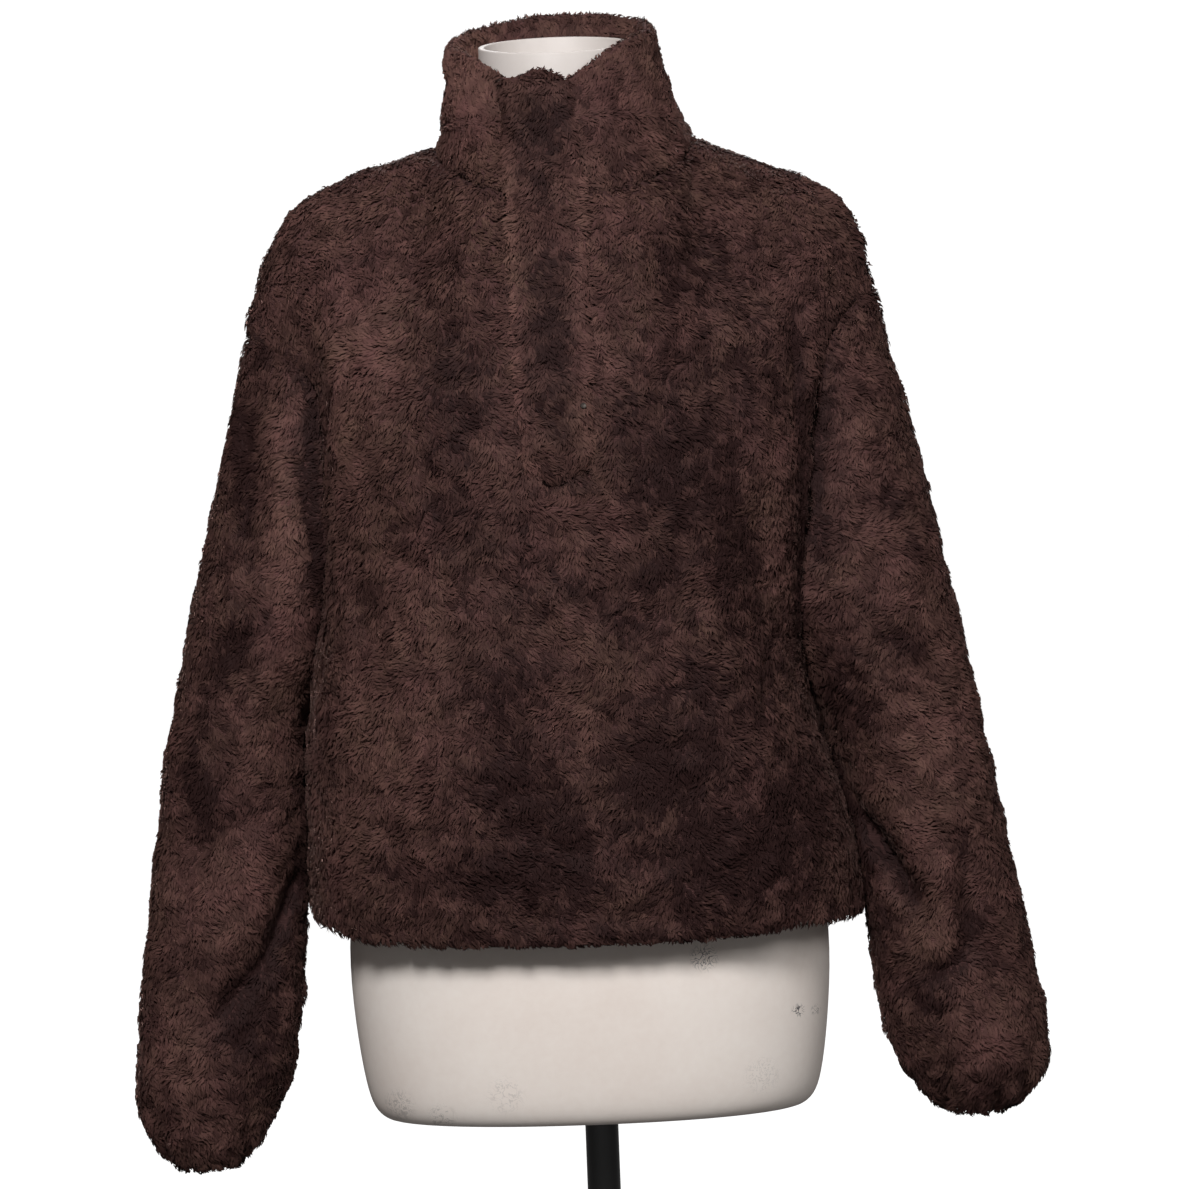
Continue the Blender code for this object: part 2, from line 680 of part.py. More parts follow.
def collar_thickness():
    """Wall of the collar: one layer at the neckline seam, two above it."""
    thickness = np.full(COLLAR_ROWS + 1, COLLAR_WALL)
    thickness[0] = FLEECE_WALL
    thickness[1] = (COLLAR_WALL + FLEECE_WALL) / 2
    return thickness


def sleeve_thickness():
    """Wall of a sleeve: the elastic casing at the cuff is thicker."""
    thickness = np.full(SLEEVE_ROWS + 1, FLEECE_WALL)
    thickness[-2:] = CUFF_WALL
    return thickness


def placket_piece(front, front_normals, collar, collar_normals):
    """The raised band, made from the points of the front and collar moved outward."""
    near = PLACKET_COLUMNS
    columns = slice(HALF_COLUMNS - near, HALF_COLUMNS + near + 1)
    collar_columns = list(range(-1 - near, -1)) + list(range(0, near + 1))
    points = np.concatenate([front[CHEST_ROW:, columns], collar[1:, collar_columns]])
    normals = np.concatenate([front_normals[CHEST_ROW:, columns], collar_normals[1:, collar_columns]])
    spread = np.abs(np.arange(-near, near + 1)) / near
    down = unit(front[CHEST_ROW - 1, columns] - front[CHEST_ROW, columns])
    points[0] += down * (PLACKET_POINT * (1 - spread))[:, None]
    points[-1] += unit(points[-1] - points[-2]) * PLACKET_OVER_COLLAR
    relief = PLACKET_RELIEF + (PLACKET_EDGE_RELIEF - PLACKET_RELIEF) * spread ** 4
    under = points + normals * TOUCH_GAP
    upper = points + normals * (TOUCH_GAP + relief)[None, :, None]
    return wall("placket", upper, under)


def form_torso():
    """The dress form's body, lofted through its sections, flat below and at the neck."""
    heights = []
    for low, high in zip(FORM_SECTIONS, FORM_SECTIONS[1:]):
        heights.append(low.height)
        if high.height - low.height > FORM_STEP:
            heights.append((low.height + high.height) / 2)
    heights.append(FORM_SECTIONS[-1].height)
    points = []
    faces = []
    for height in heights:
        half, front, back = read_table(FORM_SECTIONS, height)
        near_neck = max(0.0, (height - FORM_ROUND_HEIGHT) / (heights[-1] - FORM_ROUND_HEIGHT))
        power = 2 / (FORM_SQUARENESS + (2 - FORM_SQUARENESS) * near_neck)
        middle = (back - front) / 2
        reach = (back + front) / 2
        for column in range(FORM_COLUMNS):
            angle = 2 * math.pi * column / FORM_COLUMNS
            x = half * math.copysign(abs(math.sin(angle)) ** power, math.sin(angle))
            y = middle - reach * math.copysign(abs(math.cos(angle)) ** power, math.cos(angle))
            points.append(np.array([FORM_X + x, y, height]))
    for ring in range(len(heights) - 1):
        for column in range(FORM_COLUMNS):
            following = (column + 1) % FORM_COLUMNS
            a = ring * FORM_COLUMNS
            b = a + FORM_COLUMNS
            faces.append((a + column, a + following, b + following, b + column))
    faces.append(tuple(range(FORM_COLUMNS)))
    last = (len(heights) - 1) * FORM_COLUMNS
    faces.append(tuple(range(last, last + FORM_COLUMNS)))
    return make_object("form_torso", points, faces, FORM_SKIN)


def form_neck():
    """The dress form's neck, an open tube with a slanting rim."""
    bottom = FORM_SECTIONS[-1].height + TOUCH_GAP
    points = []
    for radius, top in ((NECK_RADIUS, False), (NECK_RADIUS, True),
                        (NECK_RADIUS - NECK_WALL, True), (NECK_RADIUS - NECK_WALL, False)):
        for column in range(FORM_COLUMNS):
            angle = 2 * math.pi * column / FORM_COLUMNS
            x = radius * math.sin(angle)
            y = -radius * math.cos(angle)
            z = NECK_TOP_HEIGHT + NECK_TOP_SLOPE * y if top else bottom
            points.append(np.array([FORM_X + x, NECK_TUBE_Y + y, z]))
    faces = []
    for ring in range(4):
        for column in range(FORM_COLUMNS):
            following = (column + 1) % FORM_COLUMNS
            a = ring * FORM_COLUMNS
            b = (ring + 1) % 4 * FORM_COLUMNS
            faces.append((a + column, a + following, b + following, b + column))
    return make_object("form_neck", points, faces, FORM_SKIN)


def turned(name, profile, finish, sides=40):
    """A round piece about the Z axis from a profile of (radius, height) pairs, both ends flat."""
    points = []
    faces = []
    for radius, height in profile:
        for side in range(sides):
            angle = 2 * math.pi * side / sides
            points.append(np.array([radius * math.cos(angle), radius * math.sin(angle), height]))
    for ring in range(len(profile) - 1):
        for side in range(sides):
            following = (side + 1) % sides
            a = ring * sides
            b = a + sides
            faces.append((a + side, a + following, b + following, b + side))
    faces.append(tuple(range(sides)))
    faces.append(tuple(range((len(profile) - 1) * sides, len(profile) * sides)))
    return make_object(name, points, faces, finish)


def stand():
    """The round base on the floor and the pole up to the form."""
    floor = -DATUM_HEIGHT
    turned("stand_base", [
        (BASE_RADIUS, floor),
        (BASE_RADIUS, floor + BASE_THICKNESS - BASE_BEVEL),
        (BASE_RADIUS - BASE_BEVEL, floor + BASE_THICKNESS),
    ], STAND_METAL)
    turned("stand_pole", [
        (POLE_RADIUS, floor + BASE_THICKNESS + TOUCH_GAP),
        (POLE_RADIUS, FORM_SECTIONS[0].height - TOUCH_GAP),
    ], STAND_METAL, sides=24)


def pullover():
    """All the sewn pieces."""
    front = panel_grid(FRONT)
    back = panel_grid(BACK)
    outward = {"front": 1, "back": -1, "sleeve_left": -1, "sleeve_right": 1, "collar": 1}
    loops = {"sleeve_left", "sleeve_right"}
    grids = {"front": front, "back": back}
    grids["sleeve_left"] = sleeve_grid(1, front, back)
    grids["sleeve_right"] = sleeve_grid(-1, front, back)
    grids["collar"] = collar_grid(front, back)

    normals = shared_normals(grids, outward, loops)
    for name in ("front", "back"):
        grids[name] = folded(grids[name], normals[name], FOLDS[name], panel_fade())
    for name in ("sleeve_left", "sleeve_right"):
        for face, label in ((FRONT, "front"), (BACK, "back")):
            fade = sleeve_fade(grids[name], face)
            grids[name] = folded(grids[name], normals[name], FOLDS[name + " " + label], fade)
    normals = shared_normals(grids, outward, loops)

    for name in ("front", "back"):
        cloth_piece(name, grids[name], normals[name], panel_thickness(), ("last", "sides"),
                    first_lip=HEM_LIP)
    for name in ("sleeve_left", "sleeve_right"):
        cloth_piece(name, grids[name], normals[name], sleeve_thickness(), ("first",),
                    loop=True, last_lip=HEM_LIP)
    cloth_piece("collar", grids["collar"], normals["collar"], collar_thickness(), ("first", "sides"),
                last_lip=COLLAR_LIP)
    placket_piece(grids["front"], normals["front"], grids["collar"], normals["collar"])


def main():
    """Clear the scene and build the part."""
    for item in list(bpy.data.objects):
        bpy.data.objects.remove(item, do_unlink=True)
    pullover()
    form_torso()
    form_neck()
    stand()


main()
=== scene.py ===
# %% [markdown]
# # A teddy-fleece pullover on a dress form
#
# The real object is a short pullover of long-pile fleece: a knitted backing with soft fibres
# standing out of it, cut into a front, a back, two sleeves, a stand collar and a raised placket.
# It hangs on a limbless dress form, which stands on a pole.
#
# The solids of the part are the frame. Each sewn piece becomes a thin shell of backing on its own
# solid, and a pile of many small locks grows out of that shell. The form and its stand are turned
# and lofted again with finer surfaces.

# %% Start from the frame
import math

import bmesh
import bpy
import numpy as np
from mathutils import Matrix, Vector, kdtree, noise
from mathutils.bvhtree import BVHTree


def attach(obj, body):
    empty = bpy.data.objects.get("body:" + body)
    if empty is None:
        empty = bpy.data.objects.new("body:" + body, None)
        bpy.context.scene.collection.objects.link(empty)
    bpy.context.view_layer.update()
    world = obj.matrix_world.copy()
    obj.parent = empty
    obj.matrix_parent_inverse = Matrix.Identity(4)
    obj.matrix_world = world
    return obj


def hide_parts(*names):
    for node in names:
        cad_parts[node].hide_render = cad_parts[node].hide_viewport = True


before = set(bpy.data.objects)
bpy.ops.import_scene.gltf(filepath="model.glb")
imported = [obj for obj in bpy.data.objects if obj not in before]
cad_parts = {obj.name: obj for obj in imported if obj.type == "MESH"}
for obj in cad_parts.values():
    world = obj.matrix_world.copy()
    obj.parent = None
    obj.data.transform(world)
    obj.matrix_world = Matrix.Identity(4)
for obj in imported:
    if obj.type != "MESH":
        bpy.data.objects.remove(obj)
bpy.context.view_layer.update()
DATUM = 0.270                # heights in the tables below start here, above the floor
MILLIMETRE = 0.001

# %% [markdown]
# ## The camera
#
# The photograph was taken from a few metres away with a long lens, a little above the middle of
# the garment, and the picture leans slightly. Working out the lens from the size of one
# millimetre in the picture keeps the proportions right at the edges too.

# %% Place the camera
IMAGE_SIZE = 1189
MILLIMETRES_PER_PIXEL = 0.75
CAMERA_LEAN = math.radians(-2.2)
CAMERA_DISTANCE = 4.5
CAMERA_RISE = math.radians(2.8)
SENSOR_WIDTH = 36.0
aim = Vector((0.0098, 0.0, DATUM + 0.4015))
eye = Vector((aim.x, -CAMERA_DISTANCE, aim.z + CAMERA_DISTANCE * math.tan(CAMERA_RISE)))
camera_data = bpy.data.cameras.new("camera")
camera_data.sensor_width = SENSOR_WIDTH
camera_data.lens = SENSOR_WIDTH * (aim - eye).length / (IMAGE_SIZE * MILLIMETRES_PER_PIXEL * MILLIMETRE)
camera = bpy.data.objects.new("camera", camera_data)
turn = (aim - eye).to_track_quat("-Z", "Y").to_matrix() @ Matrix.Rotation(CAMERA_LEAN, 3, "Z")
camera.matrix_world = Matrix.Translation(eye) @ turn.to_4x4()
bpy.context.collection.objects.link(camera)
bpy.context.scene.camera = camera
print("lens", round(camera_data.lens, 1), "mm")

# %% [markdown]
# ## Floor and light
#
# A studio shot on white: one soft light from the front left above, a weaker one from the front
# right, and one behind. The camera sees the floor and the surround as pure white, but they throw
# only a little light on the object, as white walls far away do.

# %% Floor, surround and lamps
def set_inputs(node, inputs):
    """Links each input that a socket is given for, and sets the others."""
    for name, value in inputs.items():
        if isinstance(value, bpy.types.NodeSocket):
            node.id_data.links.new(value, node.inputs[name])
        else:
            node.inputs[name].default_value = value


def add_node(tree, kind, inputs, **settings):
    """A new shader node with its settings and inputs."""
    node = tree.nodes.new("ShaderNode" + kind)
    for name, value in settings.items():
        setattr(node, name, value)
    set_inputs(node, inputs)
    return node


def plain_material(name, colour, roughness, metallic=0.0):
    """A new material with one Principled shader."""
    material = bpy.data.materials.new(name)
    material.use_nodes = True
    shader = material.node_tree.nodes["Principled BSDF"]
    set_inputs(shader, {"Base Color": (*colour, 1.0), "Roughness": roughness, "Metallic": metallic})
    return material, shader


def deselect():
    """Nothing selected and no mode open, so that an operator acts only on what comes next."""
    if bpy.context.object and bpy.context.object.mode != "OBJECT":
        bpy.ops.object.mode_set(mode="OBJECT")
    bpy.ops.object.select_all(action="DESELECT")


deselect()
bpy.ops.mesh.primitive_plane_add(size=40.0, location=(0.0, 0.0, 0.0))
floor = bpy.context.object
floor.name = "floor"
floor_paint, shader = plain_material("floor", (0.12, 0.12, 0.12), 0.9)
ray = add_node(floor_paint.node_tree, "LightPath", {})
set_inputs(shader, {
    "Emission Color": (1.0, 1.0, 1.0, 1.0), "Emission Strength": ray.outputs["Is Camera Ray"]})
floor.data.materials.append(floor_paint)

world = bpy.data.worlds.new("surround")
world.use_nodes = True
tree = world.node_tree
seen = tree.nodes["Background"]
set_inputs(seen, {"Color": (1.0, 1.0, 1.0, 1.0), "Strength": 1.05})
felt = add_node(tree, "Background", {"Color": (1.0, 0.90, 0.84, 1.0), "Strength": 0.078})
ray = add_node(tree, "LightPath", {})
either = add_node(tree, "MixShader", {
    "Fac": ray.outputs["Is Camera Ray"], 1: felt.outputs["Background"], 2: seen.outputs["Background"]})
set_inputs(tree.nodes["World Output"], {"Surface": either.outputs["Shader"]})
bpy.context.scene.world = world
bpy.context.scene.view_settings.view_transform = "Standard"

LAMPS = [  # name, place, size and power
    ("light_front", (-0.7, -3.1, 2.95), 1.0, 139.0),
    ("light_right", (2.1, -2.9, 2.7), 1.6, 53.0),
    ("light_back", (0.3, 2.8, 2.3), 2.0, 62.0),
]
for name, place, size, power in LAMPS:
    lamp = bpy.data.lights.new(name, "AREA")
    lamp.shape = "SQUARE"
    lamp.size = size
    lamp.energy = power
    item = bpy.data.objects.new(name, lamp)
    item.location = place
    item.rotation_euler = (aim - Vector(place)).to_track_quat("-Z", "Y").to_euler()
    bpy.context.collection.objects.link(item)

# %% [markdown]
# ## Colour effects that several finishes share
#
# Nothing real is one flat colour. A small node group mixes two sizes of noise into a soft blotch,
# which the fleece, the form and the metal each use at their own size.

# %% A blotch group
blotch = bpy.data.node_groups.new("blotch", "ShaderNodeTree")
for name, value in (("Size", 0.03), ("Grain", 0.004), ("Grain share", 0.3)):
    made = blotch.interface.new_socket(name=name, in_out="INPUT", socket_type="NodeSocketFloat")
    made.default_value = value
blotch.interface.new_socket(name="Blotch", in_out="OUTPUT", socket_type="NodeSocketFloat")
inside = blotch.nodes.new("NodeGroupInput")
outside = blotch.nodes.new("NodeGroupOutput")
where = add_node(blotch, "TexCoord", {})
clouds = []
for socket in ("Size", "Grain"):
    scale = add_node(blotch, "Math", {0: 1.0, 1: inside.outputs[socket]}, operation="DIVIDE")
    clouds.append(add_node(blotch, "TexNoise", {
        "Vector": where.outputs["Object"], "Scale": scale.outputs[0], "Detail": 3.0}))
both = add_node(blotch, "Mix", {
    "Factor": inside.outputs["Grain share"], "A": clouds[0].outputs["Fac"], "B": clouds[1].outputs["Fac"]})
spread = add_node(blotch, "MapRange", {"Value": both.outputs["Result"], "From Min": 0.32, "From Max": 0.68})
set_inputs(outside, {"Blotch": spread.outputs["Result"]})
print("group:", blotch.name, "with", len(blotch.nodes), "nodes")


# %% Two colours mixed by a blotch
def blotched(name, dark, light, size, grain, grain_share, roughness, metallic=0.0):
    """A material whose colour runs between two tones by the blotch group."""
    material, shader = plain_material(name, light, roughness, metallic)
    tree = material.node_tree
    group = add_node(tree, "Group", {
        "Size": size, "Grain": grain, "Grain share": grain_share}, node_tree=blotch)
    mix = add_node(tree, "Mix", {
        "Factor": group.outputs["Blotch"], "A": (*dark, 1.0), "B": (*light, 1.0)}, data_type="RGBA")
    set_inputs(shader, {"Base Color": mix.outputs["Result"]})
    return material, shader, group, mix


def add_bump(shader, height, distance, strength):
    """Feeds a height into the shader's normal through a Bump node."""
    bump = add_node(shader.id_data, "Bump", {"Height": height, "Distance": distance, "Strength": strength})
    set_inputs(shader, {"Normal": bump.outputs["Normal"]})


# %% [markdown]
# ## The backing of the fleece
#
# Under the pile is a dense knit. It shows only between the locks, inside the sleeves and under the
# hem. Its colours are set a little lighter than the fibres', painted light that lifts the shade
# between the locks. A value stored on its points makes it as light or dark as the pile that grows
# on it, painted shade and light included, and fine rows of knit come from a wave pattern.

# %% Backing material
# painted light: both colours sit a little above the pile's, to lift the shade between the locks
backing, shader, group, mix = blotched(
    "fleece_backing", (0.031, 0.0132, 0.0124), (0.140, 0.0640, 0.0585), 0.020, 0.0025, 0.5, 0.95)
tree = backing.node_tree
# the tone stored on the backing, painted shade and light included
tone_and_shade = add_node(tree, "Attribute", {}, attribute_name="tone")
even = add_node(tree, "Mix", {"Factor": 0.25, "A": tone_and_shade.outputs["Fac"], "B": group.outputs["Blotch"]})
set_inputs(mix, {"Factor": even.outputs["Result"]})
where = add_node(tree, "TexCoord", {})
rows = add_node(tree, "TexWave", {
    "Vector": where.outputs["Object"], "Scale": 260.0, "Distortion": 1.5}, bands_direction="Z")
add_bump(shader, rows.outputs["Fac"], 0.0006, 0.6)
set_inputs(shader, {"Specular IOR Level": 0.2})
print("material:", backing.name)

# %% [markdown]
# ## The pile
#
# Fibres let light through, so a lock is as bright on its far side as on its near one: its normal
# is turned back wherever its back shows. A tone is stored on every lock, partly shared with its
# neighbours, so that brushed areas come out lighter or darker together. The tone also holds painted
# shade in troughs, grooves and at seams, and painted light on ridges and lit slopes. The light end
# of the tones wanders between a redder and a duller brown.

# %% Pile material
TIP_DARK = (0.020, 0.0085, 0.0080)
TIP_RED = (0.124, 0.0565, 0.0515)
TIP_DULL = (0.119, 0.0640, 0.0490)
pile, shader = plain_material("fleece_pile", TIP_RED, 0.65)
tree = pile.node_tree
# the tone stored on each lock, painted shade and light included
tone = add_node(tree, "Attribute", {}, attribute_name="tone")
hue = add_node(tree, "Group", {"Size": 0.045, "Grain": 0.008}, node_tree=blotch)
light_tips = add_node(tree, "Mix", {
    "Factor": hue.outputs["Blotch"], "A": (*TIP_RED, 1.0), "B": (*TIP_DULL, 1.0)}, data_type="RGBA")
tips = add_node(tree, "Mix", {
    "Factor": tone.outputs["Fac"], "A": (*TIP_DARK, 1.0),
    "B": light_tips.outputs["Result"]}, data_type="RGBA")
geometry = add_node(tree, "NewGeometry", {})
facing = add_node(tree, "MapRange", {"Value": geometry.outputs["Backfacing"], "To Min": 1.0, "To Max": -1.0})
both_sides = add_node(tree, "VectorMath", {
    0: geometry.outputs["Normal"], "Scale": facing.outputs["Result"]}, operation="SCALE")
set_inputs(shader, {
    "Base Color": tips.outputs["Result"], "Normal": both_sides.outputs["Vector"], "Sheen Weight": 0.12,
    "Sheen Roughness": 0.45, "Sheen Tint": (0.90, 0.54, 0.47, 1.0), "Specular IOR Level": 0.06})
print("material:", pile.name)

# %% [markdown]
# ## A shell for each sewn piece
#
# The cloth of a sewn piece follows the outside of its solid. The solid's wall stands for backing
# and pile together, so a copy of it is merged, its outer skin is drawn in by the depth of the
# pile, and subdivision makes it smooth. A spine through the middle of the piece tells the outer
# skin from the inner one: the outer faces look away from it.

# %% Spines and which way is out
SPINES = {
    "front": [(-4, 0, 100), (-4, 0, 610)],
    "back": [(-4, 0, 100), (-4, 0, 610)],
    "sleeve_right": [(-297, -8, -30), (-296, -8, 20), (-282, -8, 102), (-265, -8, 247), (-240, -4, 380),
                     (-224, 0, 480)],
    "sleeve_left": [(284, -10, -10), (278, -10, 50), (258, -10, 194), (240, -8, 300), (218, -4, 400),
                    (196, 0, 480)],
    "collar": [(-4, 4, 650), (-8, 3, 900)],
    "placket": [(-12, 400, 400), (-12, 400, 900)],
}


def outward(points, spine):
    """Unit directions from the nearest place on a spine to each point."""
    stops = np.array(spine, dtype=float) * MILLIMETRE + np.array([0, 0, DATUM])
    best = np.full(len(points), np.inf)
    result = np.zeros_like(points)
    for start, end in zip(stops, stops[1:]):
        run = end - start
        share = np.clip((points - start) @ run / (run @ run), 0, 1)
        away = points - (start + share[:, None] * run)
        distance = np.linalg.norm(away, axis=1)
        nearer = distance < best
        best[nearer] = distance[nearer]
        result[nearer] = away[nearer] / np.maximum(distance[nearer, None], 1e-9)
    return result


def unit(vectors):
    """The same directions, each of them one long."""
    return vectors / np.maximum(np.linalg.norm(vectors, axis=-1, keepdims=True), 1e-9)


def points_of(mesh, what="co"):
    """A mesh's points or their normals as an array."""
    values = np.zeros(len(mesh.vertices) * 3, dtype=np.float32)
    if what == "co":
        mesh.vertices.foreach_get("co", values)
    else:
        mesh.vertex_normals.foreach_get("vector", values)
    return values.reshape(-1, 3).astype(float)


# %% Creases laid one by one
# Each crease runs between two points of the view from the front, in millimetres, and is a trough
# where its depth is negative and a ridge where it is positive. The solids already have the main
# ones. These are the smaller creases between them, and the ones at the elbows, armholes and hem.
CREASE_COLUMNS = ("x0", "z0", "x1", "z1", "width", "depth")
CREASES = {
    "front": [
        (-182, 520, -150, 360, 9, -3.0), (-140, 500, -120, 420, 12, -2.0), (-60, 400, -95, 260, 14, 2.5),
        (-20, 440, 30, 380, 10, -2.5), (-30, 420, 20, 350, 8, 2.0), (30, 330, 55, 230, 13, -2.5),
        (85, 440, 100, 360, 10, 2.5), (150, 400, 120, 300, 9, -3.0), (128, 560, 140, 480, 8, 2.5),
        (-150, 260, -130, 180, 12, -2.5), (10, 230, 25, 175, 10, 2.0), (120, 230, 112, 175, 10, -2.5),
        (-95, 620, -60, 570, 12, -2.0), (70, 640, 95, 600, 11, -2.0),
        (-187, 600, -186, 480, 5, -3.6), (-186, 480, -183, 430, 5, -3.6), (-183, 430, -196, 350, 5, -2.2),
        (-164, 560, -160, 440, 12, 3.0),
        (165, 610, 166, 470, 6, -6.0), (166, 470, 160, 350, 6, -6.0), (140, 560, 146, 400, 13, 2.5),
        (118, 470, 138, 330, 9, -2.5), (-60, 240, 60, 215, 10, -2.0), (-70, 178, 100, 172, 8, -2.0),
    ],
    "back": [
        (-120, 620, -150, 480, 12, -3.0), (110, 610, 150, 470, 12, -3.0), (-20, 560, -35, 400, 15, 2.5),
        (30, 520, 20, 380, 13, -2.0), (-120, 420, -150, 330, 11, -2.5), (130, 400, 110, 300, 11, 2.5),
        (-60, 260, -50, 175, 12, -2.5), (60, 250, 50, 175, 12, 2.0), (-5, 700, 5, 620, 16, -2.0),
    ],
    "sleeve_right": [
        (-225, 500, -262, 440, 9, -2.5), (-235, 400, -280, 350, 10, -3.0), (-225, 380, -255, 300, 8, 2.5),
        (-250, 260, -300, 220, 10, -3.0), (-235, 240, -290, 180, 9, 2.5), (-300, 150, -330, 110, 9, -2.5),
        (-245, 120, -275, 60, 9, -2.5), (-285, 110, -300, 40, 10, 2.0), (-305, 330, -312, 250, 10, 2.0),
        (-219, 205, -247, 138, 7, -10.0), (-247, 138, -285, 102, 8, -8.5), (-236, 205, -275, 140, 16, 4.0),
        (-243, 560, -246, 460, 9, -3.5), (-197, 585, -194, 430, 7, -4.4), (-218, 570, -216, 400, 11, 3.0),
    ],
    "sleeve_left": [
        (215, 480, 250, 420, 9, -2.5), (225, 380, 268, 330, 10, -3.0), (210, 350, 240, 270, 8, 2.5),
        (235, 240, 290, 190, 9, -3.0), (225, 170, 275, 110, 9, 2.5), (290, 140, 320, 100, 9, -2.5),
        (225, 120, 255, 70, 9, -2.5), (265, 100, 285, 40, 10, 2.0), (285, 320, 292, 240, 10, 2.0),
        (168, 310, 190, 250, 7, -6.0), (190, 250, 241, 170, 7, -12.0), (206, 262, 256, 188, 15, 5.0),
        (272, 235, 277, 188, 7, -4.0), (277, 188, 275, 132, 7, -8.5), (275, 132, 252, 110, 7, -8.5),
        (260, 190, 258, 135, 14, 4.5), (183, 560, 176, 430, 8, -4.5), (258, 48, 259, 10, 7, -5.0),
    ],
    "collar": [
        (-70, 790, -50, 745, 10, -1.5), (40, 800, 55, 750, 10, -1.5), (20, 790, 30, 760, 9, 1.5),
    ],
    "placket": [
        (-38, 700, 8, 690, 9, -1.5), (-38, 640, 8, 655, 9, -1.0), (-35, 570, 5, 580, 9, -1.2),
    ],
}


def front_view(points):
    """Each point's x and height in the view from the front, in millimetres."""
    return points[:, [0, 2]] * 1000 - np.array([0, DATUM * 1000])


def crease_lift(points, creases):
    """How far each point moves out, in metres, by the creases near it."""
    flat = front_view(points)
    lift = np.zeros(len(points))
    for crease in creases:
        row = dict(zip(CREASE_COLUMNS, crease))
        start = np.array([row["x0"], row["z0"]], dtype=float)
        run = np.array([row["x1"], row["z1"]]) - start
        share = np.clip((flat - start) @ run / (run @ run), 0, 1)
        distance = np.linalg.norm(flat - start - share[:, None] * run, axis=1)
        swell = 0.4 + 0.6 * np.sin(math.pi * share)
        lift += row["depth"] * swell * np.exp(-(distance / row["width"]) ** 2)
    return lift * MILLIMETRE


print("creases:", {name: len(rows) for name, rows in CREASES.items()})

# %% Make one shell
PILE_DEPTH = 0.0022          # how far the backing lies under the outside of the solid
CONTACT_SWELL = 0.0064       # the backing swells this far where pieces press together
TOUCH_REACH = 0.016          # pieces nearer than this press together
CLEAR_START = 0.0005         # a look at the next piece starts this far off the cloth
SEAM_REACH = 0.0070          # a seam holds the pile down within this distance,
SEAM_KEPT = 0.65             # and the backing keeps this share of the solid's full size there
GATHER_REACH = 0.050         # gathers run this far up from a sleeve's end
GATHER_COUNT = 13
GATHER_DEPTH = 0.0022
GATHER_BEND = 2.5            # the gathers aren't quite straight
LUMP_DEPTH = 0.0028          # the backing is nowhere quite even
LUMP_SIZE = 0.014
SKIN_LOOK = 0.18             # a point whose faces look out less than this isn't in the outer skin
FACE_LOOK = 0.3              # and its outer faces look out more than this
CUT_END = 0.7                # a cut end draws back by this share of the pile's depth
CUT_END_SEWN = 1.05          # less this share of it where it is sewn on, so that the seam closes
SHARP_EDGE = math.radians(60)
SHARP_HOLD = 0.9             # how firmly subdivision keeps a sharp edge
SMOOTH_LEVELS = 2
LIFTS = {  # x, width, height where it starts, height where it is full, rise and sinking in, in mm
    "placket": [(-17, 14, 770, 785, 6.5, 0.0), (-15, 90, 800, 790, 0.0, 1.5), (-15, 90, 512, 488, 0.0, 4.3)],
    "front": [(165, 34, 215, 160, 6.0, 0.0)],
}


def solid_tree(node):
    """The CAD solid of a node, ready to measure distances to."""
    work = bmesh.new()
    work.from_mesh(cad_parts[node].data)
    tree = BVHTree.FromBMesh(work)
    work.free()
    return tree


solid_trees = {node: solid_tree(node) for node in ("front", "back", "sleeve_left", "sleeve_right", "collar")}


def pressed(node, point, normal):
    """1 where a sleeve and the body lie against each other, falling to 0 where they are apart."""
    others = ("front", "back") if node.startswith("sleeve") else ("sleeve_left", "sleeve_right")
    reach = TOUCH_REACH
    for other in others:
        hit, _, _, distance = solid_trees[other].ray_cast(point + normal * CLEAR_START, normal, TOUCH_REACH)
        if hit:
            reach = min(reach, distance)
    return 1 - reach / TOUCH_REACH


def near_seam(node, point):
    """1 where another piece is sewn on, falling to 0 away from it, and 0 all over the placket."""
    if node == "placket":
        return 0.0
    others = [tree for other, tree in solid_trees.items() if other != node]
    distances = [tree.find_nearest(point, SEAM_REACH * 2)[3] for tree in others]
    return max((math.exp(-(d / SEAM_REACH) ** 2) for d in distances if d is not None), default=0.0)


def subdivide(item):
    """Makes an object's mesh finer and smooth."""
    smooth = item.modifiers.new("smooth", "SUBSURF")
    smooth.levels = smooth.render_levels = SMOOTH_LEVELS
    bpy.ops.object.modifier_apply(modifier=smooth.name)


